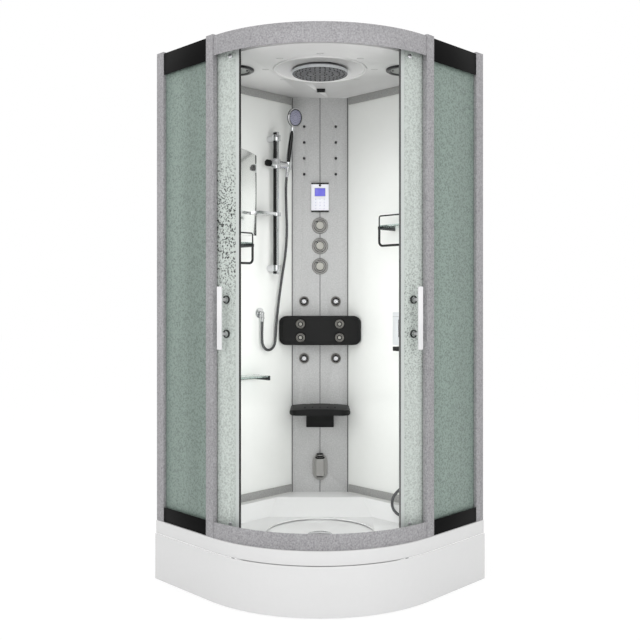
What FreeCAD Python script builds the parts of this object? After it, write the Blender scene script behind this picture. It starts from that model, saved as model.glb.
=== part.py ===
import FreeCAD, Part
import math
import os
import re
import Sketcher
from FreeCAD import Placement, Rotation, Vector

# A quarter-round steam shower cabin that stands in the corner of a room.
# World frame: millimetres, +Z up, +Y into the corner of the room, +X to the right as one
# faces the doors. The origin is on the floor, under the middle of the bounding box.

doc = FreeCAD.newDocument("steam_shower_cabin")
sheet = doc.addObject("Spreadsheet::Sheet", "Sizes")

SIZES = {
    # Tray, its skirt and what carries it.
    "tray_side": 900, "corner_radius": 550, "tray_rim": 228, "lip_tall": 50, "lip_inset": 3.5,
    "lip_skin": 5, "rim_front": 62, "rim_wall": 55, "basin_slope": 26, "basin_deep": 78,
    "floor_skin": 5, "ledge_depth": 262, "ledge_slope": 78, "terrace_rise": 5,
    "terrace_radius": 215, "terrace_step": 34, "basin_round": 60,
    "apron_skin": 4, "apron_gap": 0.8, "apron_foot": 3,
    "beam": 30, "beam_wall": 120, "beam_far": 640, "beam_mid": 290,
    "foot_radius": 22, "foot_pad": 10, "foot_rod": 6,
    "drain_depth": 560, "drain_bore": 24, "drain_cover": 45, "drain_dome": 5, "drain_play": 0.3,
    "trap_radius": 36, "trap_deep": 85, "waste_radius": 20, "waste_drop": 61, "waste_reach": 300,
    "union_lip": 4, "union_long": 10,
    # Walls and the column across the corner.
    "wall_face": 25, "wall_skin": 6, "wall_drop": 50, "trim_top": 32, "trim_base": 35,
    "trim_skin": 6, "column_depth": 160, "column_skin": 8, "column_seam": 1.2,
    # Frame: rails, posts and side glass.
    "rail_inset": 10, "rail_skin": 3, "flange_wide": 35, "head_tall": 71, "sill_tall": 57,
    "flange_rise": 24, "frame_top": 2022, "band_top": 82, "band_base": 55, "cap_wide": 40,
    "post_wide": 40, "post_deep": 17, "post_proud": 2, "post_extra": 6, "notch_head": 8, "end_wide": 44,
    "groove_deep": 10, "glass_play": 0.3, "pane": 5, "pane_inset": 19,
    # Doors, swung back about a pole near the centre of the arc.
    "door_inset": 53, "door_drop": 51, "door_lift": 15, "door_tail": 2.5, "door_meet": 44.2,
    "door_shut": 44.95, "door_open": 24.6,
    # The pole of the open doors, as shares of the corner's radius from the arc's centre.
    "pole_across": 0.3255, "pole_along": 0.171,
    "seal_wide": 11, "seal_grip": 1.1, "handle_angle": 38, "handle_stand": 38,
    "handle_wide": 20, "handle_skin": 5, "handle_base": 902, "handle_tall": 223,
    "boss_high": 177, "boss_low": 55, "boss_radius": 6, "knob_disc": 11, "knob_disc_deep": 12,
    "hanger_lead": 40.5, "hanger_tail": 4, "hanger_wide": 24, "hanger_skin": 5,
    "hanger_stand": 7, "hanger_hang": 46, "hanger_bolt": 26, "grip_radius": 4,
    "grip_head": 8, "wheel_radius": 13, "wheel_wide": 7, "wheel_inset": 34, "wheel_play": 0.3,
    "axle_radius": 3, "axle_play": 0.05, "guide_lift": 4, "guide_tall": 60, "guide_wide": 20,
    "guide_bolt": 39, "guide_deep": 10,
    # Roof and what hangs under it.
    "roof_inset": 28, "roof_rim": 3, "roof_rise": 128, "roof_slope": 400, "roof_back_slope": 150,
    "roof_skin": 4,
    "ceiling_skin": 4, "ceiling_inset": 92, "ceiling_flange": 3, "ceiling_wall": 8,
    "rain_depth": 620, "rain_radius": 108, "rain_deep": 18, "rain_stem": 10, "rain_neck": 30,
    "nozzle_radius": 2.5, "nozzle_tall": 2, "lamp_across": 326, "lamp_depth": 619,
    "lamp_radius": 70, "lamp_lens": 54, "lamp_deep": 7, "ring_radius": 177, "ring_wide": 6,
    "ring_tall": 5, "fan_depth": 301, "fan_offset": 4, "grille_wide": 36, "grille_long": 50,
    "grille_deep": 4, "fan_box": 64, "fan_tall": 40,
    # Controls on the column.
    "panel_wide": 77, "panel_gap": 60, "panel_tall": 128.5, "panel_deep": 14,
    "panel_strip": 6.5, "screen_wide": 46, "screen_tall": 35, "screen_drop": 24,
    "screen_deep": 2, "key_radius": 3.5, "key_pitch": 19, "key_rise": 0.8, "sensor_radius": 4.5,
    "valve_top": 1406, "valve_pitch": 90, "plate_radius": 35,
    "plate_deep": 7, "knob_radius": 22, "knob_deep": 26, "knob_gap": 0.5, "knob_lever": 7,
    "knob_reach": 33, "knob_turn": 33, "stem_radius": 5, "stem_long": 12,
    # Water jets.
    "jet_across": 70, "jet_clear_high": 63, "jet_clear_low": 62, "jet_radius": 22, "jet_deep": 8,
    "jet_shank": 15, "shank_long": 22, "ball_radius": 12.5, "ball_play": 0.3, "ball_face": 9,
    "ball_back": 8, "mini_drop": 127, "mini_pitch": 70.4, "mini_radius": 6, "mini_deep": 5,
    "mini_shank": 4,
    # Padded back rest and folding seat.
    "rest_base": 881, "rest_tall": 127, "rest_half": 180, "rest_deep": 80, "rest_round": 34,
    "rest_wall_gap": 4, "rest_jet_across": 84.6, "rest_jet_high": 92.3, "rest_jet_low": 33.6,
    "rest_jet_radius": 15.6, "rest_ring": 19.5, "rest_jet_deep": 6,
    "seat_top": 620, "seat_thick": 28, "seat_half": 129, "seat_reach": 202, "seat_clear": 8,
    "seat_crown": 6, "seat_round": 40, "pivot_out": 18, "pin_radius": 4, "pin_play": 0.05,
    "bracket_half": 61, "bracket_tall": 76, "bracket_skin": 8, "ear_wide": 12, "ear_radius": 11,
    "ear_play": 1, "prop_reach": 60, "prop_shoulder": 42, "prop_lip": 14, "seat_play": 0.3,
    # Steam outlet low on the column.
    "steam_base": 282, "steam_tall": 116, "steam_wide": 65, "steam_deep": 12, "steam_dome": 26,
    "steam_cap": 15, "steam_cap_tall": 10, "steam_slit": 6,
    # Slide bar, slider, hand shower and hose on the left wall.
    "bar_along": 336, "bar_off": 45, "bar_radius": 12.5, "bar_base": 1187, "bar_long": 608,
    "mount_end": 26, "mount_radius": 15, "mount_ring": 19, "mount_tall": 26,
    "fit_play": 0.05, "slider_rise": 472, "barrel_radius": 16, "barrel_front": 34,
    "barrel_back": 52, "turn_radius": 14, "turn_long": 19, "cradle_long": 69, "cradle_ring": 17,
    "cradle_tall": 32, "hand_tilt": 10, "grip_low": 29, "grip_thin": 10.5, "grip_thick": 13,
    "hand_long": 207, "hand_radius": 41, "hand_deep": 20, "hose_radius": 6, "elbow_along": 393,
    "elbow_off": 21, "elbow_level": 1021, "elbow_disc": 22, "elbow_disc_deep": 6,
    "elbow_radius": 9, "elbow_drop": 16,
    # Wall fittings.
    "dish_rise": 256, "dish_long": 90, "dish_wide": 56, "dish_deep": 12, "dish_skin": 2.5,
    "dish_collar": 20, "dish_arm": 14,
    "mirror_along": 411, "mirror_wide": 230, "mirror_gap": 43, "mirror_tall": 340,
    "mirror_rise": 22, "mirror_skin": 5,
    "shelf_reach": 95, "shelf_long": 240, "shelf_skin": 6, "arm_wide": 9, "arm_tall": 13,
    "guard_rise": 37, "guard_radius": 3, "towel_drop": 80, "towel_radius": 5, "towel_bend": 18,
    "shelf_low_along": 415, "shelf_low_level": 756, "shelf_left_along": 508,
    "shelf_left_level": 1307, "shelf_right_along": 464, "shelf_right_level": 1380,
    "pump_along": 510, "pump_wide": 70, "pump_deep": 62, "pump_base": 868, "pump_tall": 159,
    "lever_wide": 26, "lever_tall": 22, "lever_deep": 12, "lever_gap": 8, "lever_stem": 5,
    "pump_back": 15, "stem_in": 5, "lever_travel": 6,
    "loop_along_high": 575, "loop_level_high": 401, "loop_along_low": 612, "loop_level_low": 341,
    # Plumbing behind the column.
    "mixer_half": 30, "mixer_deep": 40, "mixer_over": 40, "neck_radius": 14, "riser_radius": 7.5,
    "riser_gap": 16, "riser_rise": 40, "manifold_radius": 7, "inlet_radius": 10.5,
    "inlet_across": 18, "inlet_long": 45, "inlet_drop": 22, "boiler_half": 72, "boiler_deep": 52,
    "boiler_rise": 32, "boiler_tall": 290, "steam_pipe": 9,
}
for row, (alias, number) in enumerate(SIZES.items(), start=1):
    sheet.set(f"A{row}", alias)
    sheet.set(f"B{row}", str(number))
    sheet.setAlias(f"B{row}", alias)
doc.recompute()


def bound(text):
    """An expression in the sheet's aliases, written so that the document can evaluate it."""
    return re.sub(r"[a-z_]+", lambda word: "Sizes." + word[0] if word[0] in SIZES else word[0],
                  str(text))


def size(text):
    """The present value of such an expression."""
    return float(sheet.evalExpression(bound(text)))


Z_AXIS = Vector(0, 0, 1)
UPRIGHT = Rotation()
SIDE = size("tray_side")
CENTRE = size("tray_side - corner_radius")
ARC = size("corner_radius")
DEPTH = CENTRE * math.sqrt(2) + ARC
RIM = size("tray_rim")
COLUMN_FACE = DEPTH / 2 - size("column_depth")
# Levels, radii and depths that follow from the driving sizes.
FLOOR = "(tray_rim - basin_deep)"
WALL_TOP = "(frame_top - wall_drop)"
DOOR_RADIUS = "(corner_radius - door_inset)"
DOOR_FOOT, DOOR_TOP = "(tray_rim + door_lift)", "(frame_top - door_drop)"
VALVE_MIDDLE, VALVE_BASE = "(valve_top - valve_pitch)", "(valve_top - 2 * valve_pitch)"
PANEL_BASE = "(valve_top + panel_gap)"
JET_UPPER, JET_LOWER = "(rest_base + rest_tall + jet_clear_high)", "(rest_base - jet_clear_low)"
MINI_TOP = f"({WALL_TOP} - mini_drop)"
PIVOT_DEPTH = "(column_depth + pivot_out)"
BRACKET_BASE = "(seat_top - seat_thick - bracket_tall)"
BAR_TOP = "(bar_base + bar_long)"
SLIDER = "(bar_base + slider_rise)"
MIRROR_BASE = "(shelf_left_level + mirror_gap)"
BOILER_BASE = "(steam_base + steam_tall + boiler_rise)"
WHEEL_RUN = "(corner_radius - wheel_inset)"
HANDLE_RADIUS = f"({DOOR_RADIUS} + handle_stand)"
HANGER_GRIP, HANGER_LOW = f"({DOOR_TOP} - hanger_bolt)", f"({DOOR_TOP} - hanger_hang)"
GUIDE_GRIP, GUIDE_LOW = f"({DOOR_FOOT} + guide_bolt)", "(tray_rim + guide_lift)"
REST_FRONT = "(column_depth + rest_deep)"
SEAT_FRONT = "(column_depth + seat_reach)"
RISER_ACROSS = "(mixer_half + riser_gap)"
BOSSES = (("top", "handle_base + boss_high"), ("base", "handle_base + boss_low"))

# Plan frame of the left wall: x runs along it from the corner, y into the cabin.
PLAN = Placement(Vector(0, DEPTH / 2, 0), Rotation(Z_AXIS, -135))
# Plan frame of the right wall: -x runs along it from the corner, y into the cabin.
RIGHT = PLAN * Placement(Vector(), Rotation(Z_AXIS, -90))
# Frame of the arc: its axis stands at the centre, angle 0 points at the left corner post.
ARC_FRAME = PLAN * Placement(Vector(CENTRE, CENTRE, 0), UPRIGHT)
# Frame of the open left door: the shut door turned back about the pole.
POLE = Vector(-size("corner_radius * pole_across"), -size("corner_radius * pole_along"), 0)
DOOR_FRAME = ARC_FRAME * Placement(Vector(), Rotation(Z_AXIS, -size("door_open")), POLE)
# Turned so that a turned piece's own axis comes out of the column, towards the doors.
OUTWARD = Rotation(Vector(1, 0, 0), 90)

nodes = []


def node(label, item):
    """Name a finished sub-part and put it on the list that is written out."""
    item.Label = label
    nodes.append(item)
    return item


# ---- Part primitives and booleans, bound to the sheet ----

def box(name, length, width, height, corner=(0, 0, 0), frame=Placement()):
    item = doc.addObject("Part::Box", name)
    for prop, text in (("Length", length), ("Width", width), ("Height", height)):
        item.setExpression(prop, bound(text))
    item.Placement = frame * Placement(Vector(*map(size, corner)), UPRIGHT)
    return item


def rod(name, radius, height, start=(0, 0, 0), toward=Z_AXIS, frame=Placement()):
    item = doc.addObject("Part::Cylinder", name)
    item.setExpression("Radius", bound(radius))
    item.setExpression("Height", bound(height))
    item.Placement = frame * Placement(Vector(*map(size, start)), Rotation(Z_AXIS, toward))
    return item


def fuse(name, *items):
    item = doc.addObject("Part::MultiFuse", name)
    item.Shapes = list(items)
    return item


def cut(name, base, *tools):
    item = doc.addObject("Part::Cut", name)
    item.Base = base
    item.Tool = tools[0] if len(tools) == 1 else fuse(name + "_tools", *tools)
    return item


def group(name, *items):
    item = doc.addObject("Part::Compound", name)
    item.Links = list(items)
    return item


def mirrored(name, source):
    """The same piece on the other side of the cabin."""
    item = doc.addObject("Part::Mirroring", name)
    item.Source = source
    item.Base = (0, 0, 0)
    item.Normal = (1, 0, 0)
    return item


def both(name, item):
    """A piece and its mirror image as one group of two solids."""
    return group(name, item, mirrored(name + "_right", item))


def shaped(name, shape, frame=Placement()):
    item = doc.addObject("Part::Feature", name)
    item.Shape = shape
    item.Placement = frame
    return item


# ---- Bodies with sketches ----

def body(name, frame=Placement()):
    item = doc.addObject("PartDesign::Body", name)
    item.Placement = frame
    return item


def sketch(item, role, name):
    drawing = item.newObject("Sketcher::SketchObject", name)
    plane = next(face for face in item.Origin.OriginFeatures if face.Role == role)
    drawing.AttachmentSupport = [(plane, "")]
    drawing.MapMode = "FlatFace"
    return drawing


def hold(drawing, edge, end, along, text):
    """Keep one point of an edge at a distance from the sketch's own axes."""
    if str(text) == "0":
        drawing.addConstraint(Sketcher.Constraint("PointOnObject", edge, end, -2 if along == "X" else -1))
        return
    place = drawing.addConstraint(Sketcher.Constraint("Distance" + along, edge, end, size(text)))
    drawing.setExpression(f"Constraints[{place}]", bound(text))


def outline(item, role, name, corners):
    """A closed sketch of straight edges; corners are pairs of expressions."""
    drawing = sketch(item, role, name)
    points = [Vector(size(x), size(y), 0) for x, y in corners]
    for here, there in zip(points, points[1:] + points[:1]):
        drawing.addGeometry(Part.LineSegment(here, there), False)
    count = len(points)
    for edge in range(count):
        drawing.addConstraint(Sketcher.Constraint("Coincident", edge, 2, (edge + 1) % count, 1))
    for edge, (x, y) in enumerate(corners):
        hold(drawing, edge, 1, "X", x)
        hold(drawing, edge, 1, "Y", y)
    return drawing


def circles(item, role, name, rings):
    """A sketch of circles; each ring is (x, y, radius) in expressions."""
    drawing = sketch(item, role, name)
    for edge, (x, y, radius) in enumerate(rings):
        centre = Vector(size(x), size(y), 0)
        drawing.addGeometry(Part.Circle(centre, Z_AXIS, size(radius)), False)
        hold(drawing, edge, 3, "X", x)
        hold(drawing, edge, 3, "Y", y)
        place = drawing.addConstraint(Sketcher.Constraint("Radius", edge, size(radius)))
        drawing.setExpression(f"Constraints[{place}]", bound(radius))
    return drawing


def pad(item, drawing, length, midplane=False, backward=False):
    feature = item.newObject("PartDesign::Pad", drawing.Name + "_pad")
    feature.Profile = drawing
    feature.setExpression("Length", bound(length))
    feature.Midplane = midplane
    feature.Reversed = backward
    item.Tip = feature
    return feature


def pocket(item, drawing, backward=False):
    """Cut a sketch right through the body."""
    doc.recompute()
    before = item.Shape.Volume
    feature = item.newObject("PartDesign::Pocket", drawing.Name + "_pocket")
    feature.Profile = drawing
    feature.Type = "ThroughAll"
    feature.Midplane = True
    feature.Reversed = backward
    item.Tip = feature
    doc.recompute()
    if not item.Shape.Volume < before - 1e-6:
        raise ValueError(drawing.Name + " cuts nothing")
    return feature


def spin(item, drawing, angle=360):
    feature = item.newObject("PartDesign::Revolution", drawing.Name + "_turn")
    feature.Profile = drawing
    feature.ReferenceAxis = (drawing, ["V_Axis"])
    feature.setExpression("Angle", bound(angle))
    item.Tip = feature
    return feature


def turned(name, profile, frame=Placement()):
    """A turned body about its own Z; the profile holds (radius, height) expressions."""
    item = body(name, frame)
    spin(item, outline(item, "XZ_Plane", name + "_profile", profile))
    return item


def swept_arc(name, profile, angle, frame):
    """A bar of constant section bent round the Z axis, from its frame's X towards Y."""
    item = body(name, frame)
    spin(item, outline(item, "XZ_Plane", name + "_section", profile), angle)
    return item


# ---- Outlines and tubes for the shapes that need Part's own functions ----

def quadrant(inset, wall, level, ledge=0.0, corner=0.0):
    """Closed wire: two straight walls, two short fronts and the arc between them.

    ledge cuts the back corner straight across at that depth, and corner rounds the two
    corners between wall and front.
    """
    far = SIDE - inset
    radius = ARC - inset
    arc_mid = CENTRE + radius / math.sqrt(2)
    at = lambda x, y: Vector(x, y, level)
    bend = corner * (1 - 1 / math.sqrt(2))
    start = max(ledge * math.sqrt(2) - wall, wall)
    edges = []
    path = [("line", at(start, wall), at(far - corner, wall))]
    if corner:
        path.append(("arc", at(far - corner, wall), at(far - bend, wall + bend), at(far, wall + corner)))
    path += [("line", at(far, wall + corner), at(far, CENTRE)),
             ("arc", at(far, CENTRE), at(arc_mid, arc_mid), at(CENTRE, far)),
             ("line", at(CENTRE, far), at(wall + corner, far))]
    if corner:
        path.append(("arc", at(wall + corner, far), at(wall + bend, far - bend), at(wall, far - corner)))
    path.append(("line", at(wall, far - corner), at(wall, start)))
    if ledge:
        path.append(("line", at(wall, start), at(start, wall)))
    for kind, *points in path:
        if kind == "line":
            edges.append(Part.LineSegment(*points).toShape())
        else:
            edges.append(Part.Arc(*points).toShape())
    return Part.Wire(edges)


def prism(wire, height):
    return Part.Face(wire).extrude(Vector(0, 0, height))


def loft(low, high):
    return Part.makeLoft([low, high], True, True)


def tube_path(points, radii):
    """Straight runs joined by tangent arcs, one radius for each inner point."""
    edges = []
    here = points[0]
    for before, corner, after, radius in zip(points, points[1:], points[2:], radii):
        arriving = (corner - before).normalize()
        leaving = (after - corner).normalize()
        turn = arriving.getAngle(leaving)
        back = radius * math.tan(turn / 2)
        enter = corner - arriving * back
        leave = corner + leaving * back
        inward = (leaving - arriving).normalize()
        middle = corner + inward * (radius / math.cos(turn / 2) - radius)
        edges.append(Part.LineSegment(here, enter).toShape())
        edges.append(Part.Arc(enter, middle, leave).toShape())
        here = leave
    edges.append(Part.LineSegment(here, points[-1]).toShape())
    return Part.Wire(edges)


def easy_radii(points, share=0.45):
    """The largest arc that each inner point's two runs allow."""
    radii = []
    for before, corner, after in zip(points, points[1:], points[2:]):
        run = min((corner - before).Length, (after - corner).Length)
        turn = (corner - before).getAngle(after - corner)
        radii.append(share * run / math.tan(turn / 2))
    return radii


def tube(points, radii, radius):
    path = tube_path(points, radii)
    ring = Part.Wire(Part.Circle(points[0], points[1] - points[0], radius).toShape())
    return path.makePipeShell([ring], True, False)


def hose(name, points, radius, frame):
    radii = easy_radii(points)
    solid = tube(points, radii, radius)
    length = tube_path(points, radii).Length
    share = solid.Volume / (math.pi * radius ** 2 * length)
    print(name, "length", round(length), "radii", [round(r) for r in radii], "volume", round(share, 4))
    return shaped(name, solid, frame)


# ---- Tray ----

def tray_basin():
    skin = size("lip_skin")
    floor = size(FLOOR)
    inset = size("lip_inset")
    low = RIM - size("lip_tall")
    front, wall = size("rim_front"), size("rim_wall")
    slope, ledge = size("basin_slope"), size("ledge_depth")
    corner = size("basin_round")
    foot = ledge + size("ledge_slope")
    cap = prism(quadrant(inset, 0, low), RIM - low)
    top = quadrant(front, wall, RIM, ledge, corner)
    bottom = quadrant(front + slope, wall + slope, floor, foot, corner)
    outer_top = quadrant(front - skin, wall - skin, RIM, ledge - skin, corner)
    outer_bottom = quadrant(front + slope - skin, wall + slope - skin, floor - size("floor_skin"),
                            foot - skin, corner)
    hollow = loft(bottom, top)
    drain = Vector(size("drain_depth") / math.sqrt(2), size("drain_depth") / math.sqrt(2), 0)
    steps = 2
    for step in range(steps):
        rise = size("terrace_rise") * (steps - step)
        radius = size("terrace_radius") + size("terrace_step") * step
        keep = Part.makeCylinder(radius, size("terrace_rise"),
                                 drain + Vector(0, 0, floor + rise - size("terrace_rise")))
        slab = Part.makeBox(SIDE, SIDE, size("terrace_rise"),
                            Vector(0, 0, floor + rise - size("terrace_rise")))
        behind = Part.makeBox(SIDE * 2, SIDE, size("terrace_rise"),
                              Vector(-SIDE, -SIDE, floor + rise - size("terrace_rise")))
        behind.rotate(Vector(), Z_AXIS, -45)
        behind.translate(drain)
        hollow = hollow.cut(slab.common(behind).cut(keep))
    solid = cap.fuse(loft(outer_bottom, outer_top)).cut(hollow)
    bore = Part.makeCylinder(size("drain_bore"), size("floor_skin") * 3,
                             drain + Vector(0, 0, floor - 2 * size("floor_skin")))
    return solid.cut(bore).removeSplitter()


def tray_apron():
    low = size("apron_foot")
    tall = RIM - size("lip_tall") - size("apron_gap") - low
    outer = prism(quadrant(0, 0, low), tall)
    inner = prism(quadrant(size("apron_skin"), -1, low), tall)
    return outer.cut(inner)


node("tray_basin", shaped("tray_basin", tray_basin(), PLAN))
node("tray_apron", shaped("tray_apron", tray_apron(), PLAN))

FRAME_TOP = f"{FLOOR} - floor_skin"
long_beam = "beam_far - beam_wall"
beams = [
    box("beam_left", long_beam, "beam", "beam", ("beam_wall", "beam_wall", FRAME_TOP + " - beam"), PLAN),
    box("beam_front_right", long_beam, "beam", "beam",
        ("beam_wall", "beam_far - beam", FRAME_TOP + " - beam"), PLAN),
    box("beam_right", "beam", long_beam, "beam", ("beam_wall", "beam_wall", FRAME_TOP + " - beam"), PLAN),
    box("beam_front_left", "beam", long_beam, "beam",
        ("beam_far - beam", "beam_wall", FRAME_TOP + " - beam"), PLAN),
    box("beam_cross", "beam", long_beam, "beam", ("beam_mid", "beam_wall", FRAME_TOP + " - beam"), PLAN),
]
node("tray_frame", fuse("tray_frame", *beams))

NEAR = "beam_wall + beam / 2"
FAR = "beam_far - beam / 2"
MID = "beam_mid + beam / 2"
feet = []
for x, y in ((NEAR, NEAR), (FAR, NEAR), (FAR, FAR), (NEAR, FAR), (MID, NEAR), (MID, FAR)):
    number = len(feet) + 1
    foot_disc = rod(f"foot_disc_{number}", "foot_radius", "foot_pad", (x, y, 0), frame=PLAN)
    foot_screw = rod(f"foot_screw_{number}", "foot_rod", FRAME_TOP + " - beam", (x, y, 0), frame=PLAN)
    feet.append(fuse(f"foot_{number}", foot_disc, foot_screw))
node("levelling_feet", group("levelling_feet", *feet))

DRAIN = Placement(Vector(0, DEPTH / 2 - size("drain_depth"), 0), UPRIGHT)
cover = turned("drain_cover", [
    (0, f"{FLOOR} + drain_play"), ("drain_bore - drain_play - 3", f"{FLOOR} + drain_play"),
    ("drain_bore - drain_play - 3", f"{FLOOR} - floor_skin + 1"),
    ("drain_bore - drain_play", f"{FLOOR} - floor_skin + 1"),
    ("drain_bore - drain_play", f"{FLOOR} + drain_play"),
    ("drain_cover", f"{FLOOR} + drain_play"), ("drain_cover", f"{FLOOR} + drain_play + 1.5"),
    ("drain_cover - 6", f"{FLOOR} + drain_dome"), (0, f"{FLOOR} + drain_dome + 1")], DRAIN)
node("drain_cover", cover)

trap = turned("trap_cup", [
    (0, FRAME_TOP + " - trap_deep"), ("trap_radius", FRAME_TOP + " - trap_deep"),
    ("trap_radius", FRAME_TOP), ("drain_bore", FRAME_TOP),
    ("drain_bore", FRAME_TOP + " - trap_deep + 6"), (0, FRAME_TOP + " - trap_deep + 6")], DRAIN)
# The waste leaves towards the left wall, between the feet.
waste = rod("waste_pipe", "waste_radius", "waste_reach + trap_radius",
            (0, 0, f"{FLOOR} - floor_skin - waste_drop"), Vector(-1, 1, 0), DRAIN)
union = rod("waste_union", "waste_radius + union_lip", "trap_radius + union_long",
            (0, 0, f"{FLOOR} - floor_skin - waste_drop"), Vector(-1, 1, 0), DRAIN)
drain_trap = fuse("drain_trap", trap, waste, union)

# ---- Walls and column ----

left_wall = body("left_wall", PLAN)
WALL_END = "tray_side - rail_inset - post_deep"
wall_back = "wall_face - wall_skin"
wall_start = f"column_depth * {math.sqrt(2)} - wall_face"
pad(left_wall, outline(left_wall, "XY_Plane", "wall_plan", [
    (wall_start, wall_back), (WALL_END, wall_back), (WALL_END, "wall_face"),
    (wall_start, "wall_face")]), f"{WALL_TOP} - tray_rim")
left_wall.Placement = PLAN * Placement(Vector(0, 0, RIM), UPRIGHT)
node("wall_panels", both("wall_panels", left_wall))

trim_start = wall_start + " + trim_skin + 1"
trim_end = "tray_side - rail_inset - 24"
top_trim = box("top_trim", f"{trim_end} - ({trim_start})", "trim_skin", "trim_top",
               (trim_start, "wall_face", f"{WALL_TOP} - trim_top"), PLAN)
base_trim = box("base_trim", f"{trim_end} - ({trim_start})", "trim_skin", "trim_base",
                (trim_start, "wall_face", "tray_rim"), PLAN)
node("wall_trims", group("wall_trims", top_trim, base_trim, mirrored("top_trim_right", top_trim),
                         mirrored("base_trim_right", base_trim)))

column_half = f"(column_depth - wall_face * {math.sqrt(2)})"
half_column = body("half_column", Placement(Vector(0, COLUMN_FACE, 0), UPRIGHT))
pad(half_column, outline(half_column, "XZ_Plane", "column_front", [
    ("-" + column_half, "tray_rim"), ("-column_seam / 2", "tray_rim"),
    ("-column_seam / 2", WALL_TOP), ("-" + column_half, WALL_TOP)]),
    "column_skin", backward=True)
holes = [("-jet_across", level, "jet_shank + 0.3") for level in (JET_UPPER, JET_LOWER)]
holes += [("-jet_across", f"{MINI_TOP} - {step} * mini_pitch", "mini_shank + 0.3") for step in range(4)]
pocket(half_column, circles(half_column, "XZ_Plane", "jet_holes", holes))
valve_holes = [rod(f"valve_hole_{level}", "neck_radius + 0.5", "4 * column_skin",
                   (0, f"{COLUMN_FACE} - column_skin", level), Vector(0, 1, 0))
               for level in ("valve_top", VALVE_MIDDLE, VALVE_BASE)]
steam_hole = rod("steam_hole", "steam_pipe + 0.5", "4 * column_skin",
                 (0, f"{COLUMN_FACE} - column_skin", "steam_base + steam_tall / 2"), Vector(0, 1, 0))
node("column_panels", cut("column_panels", both("column_halves", half_column), *valve_holes, steam_hole))

# ---- Frame ----

FACE = "(tray_side - rail_inset)"
PANE_BACK = f"({FACE} - pane_inset + rail_skin)"


def upright(name, near, far, groove_low, groove_high):
    """A vertical extrusion with a groove for the side glass in one or two of its faces."""
    item = body(name, PLAN * Placement(Vector(0, 0, RIM), UPRIGHT))
    inner, outer = f"{FACE} - post_deep", f"{FACE} + post_proud"
    slot_in, slot_out = f"{PANE_BACK} - glass_play", f"{PANE_BACK} + pane + glass_play"
    corners = [(inner, near)]
    if groove_low:
        corners += [(slot_in, near), (slot_in, f"{near} + groove_deep + glass_play"),
                    (slot_out, f"{near} + groove_deep + glass_play"), (slot_out, near)]
    corners += [(outer, near), (outer, far)]
    if groove_high:
        corners += [(slot_out, far), (slot_out, f"{far} - groove_deep - glass_play"),
                    (slot_in, f"{far} - groove_deep - glass_play"), (slot_in, far)]
    corners += [(inner, far)]
    pad(item, outline(item, "XY_Plane", name + "_section", corners),
        "frame_top + post_extra - tray_rim")
    return item


ARC_CENTRE = "(tray_side - corner_radius)"
FLANGE = "frame_top - head_tall + flange_rise"
full_post = upright("full_post", f"{ARC_CENTRE} - post_wide", ARC_CENTRE, True, False)
track_notch = box("track_notch", "post_deep - rail_skin + 1 + glass_play", "post_wide + 2",
                  "rail_skin + 2 * wheel_radius + notch_head",
                  (f"{FACE} - post_deep - 1", f"{ARC_CENTRE} - post_wide - 1", f"{FLANGE} - glass_play"),
                  PLAN)
post = cut("corner_post", full_post, track_notch)
end = upright("end_profile", "0", "end_wide", False, True)
node("frame_uprights", group("frame_uprights", post, mirrored("post_right", post), end,
                             mirrored("end_right", end)))

pane_long = f"{ARC_CENTRE} - post_wide - end_wide + 2 * groove_deep"
side_pane = box("side_pane", "pane", pane_long,
                f"{FLANGE} - tray_rim - rail_skin - 2 * glass_play",
                (PANE_BACK, "end_wide - groove_deep", "tray_rim + rail_skin + glass_play"), PLAN)
node("side_glass", both("side_glass", side_pane))

band_long = f"{ARC_CENTRE} - post_wide - end_wide"
upper_bands = fuse(
    "upper_band",
    box("upper_web", "rail_skin", band_long, "band_top",
        (f"{FACE} - rail_skin", "end_wide", "frame_top - band_top"), PLAN),
    box("upper_flange", "flange_wide", band_long, "rail_skin",
        (f"{FACE} - flange_wide", "end_wide", FLANGE), PLAN),
    box("upper_cap", "cap_wide", band_long, "rail_skin",
        (f"{FACE} - cap_wide", "end_wide", "frame_top - rail_skin"), PLAN))
lower_bands = fuse(
    "lower_band",
    box("lower_web", "rail_skin", band_long, "band_base",
        (f"{FACE} - rail_skin", "end_wide", "tray_rim"), PLAN),
    box("lower_flange", "cap_wide", band_long, "rail_skin",
        (f"{FACE} - cap_wide", "end_wide", "tray_rim"), PLAN))
node("side_rails", group("side_rails", upper_bands, lower_bands,
                         mirrored("upper_band_right", upper_bands),
                         mirrored("lower_band_right", lower_bands)))

RAIL = "(corner_radius - rail_inset)"
head_arc = swept_arc("head_arc", [
    (f"{RAIL} - rail_skin", "frame_top - head_tall"), (RAIL, "frame_top - head_tall"),
    (RAIL, "frame_top"), (f"{RAIL} - cap_wide", "frame_top"),
    (f"{RAIL} - cap_wide", "frame_top - rail_skin"), (f"{RAIL} - rail_skin", "frame_top - rail_skin"),
    (f"{RAIL} - rail_skin", FLANGE + " + rail_skin"), (f"{RAIL} - flange_wide", FLANGE + " + rail_skin"),
    (f"{RAIL} - flange_wide", FLANGE), (f"{RAIL} - rail_skin", FLANGE)], 90, ARC_FRAME)
sill_arc = swept_arc("sill_arc", [
    (f"{RAIL} - cap_wide", "tray_rim"), (RAIL, "tray_rim"), (RAIL, "tray_rim + sill_tall"),
    (f"{RAIL} - rail_skin", "tray_rim + sill_tall"), (f"{RAIL} - rail_skin", "tray_rim + rail_skin"),
    (f"{RAIL} - cap_wide", "tray_rim + rail_skin")], 90, ARC_FRAME)


def tab(name, wide, stop, level):
    """A rail's flange carried on past a corner post, up to a stop short of the rail's face."""
    return box(name, f"{wide} - ({stop})", "post_wide", "rail_skin",
               (f"{FACE} - {wide}", f"{ARC_CENTRE} - post_wide", level), PLAN)


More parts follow.
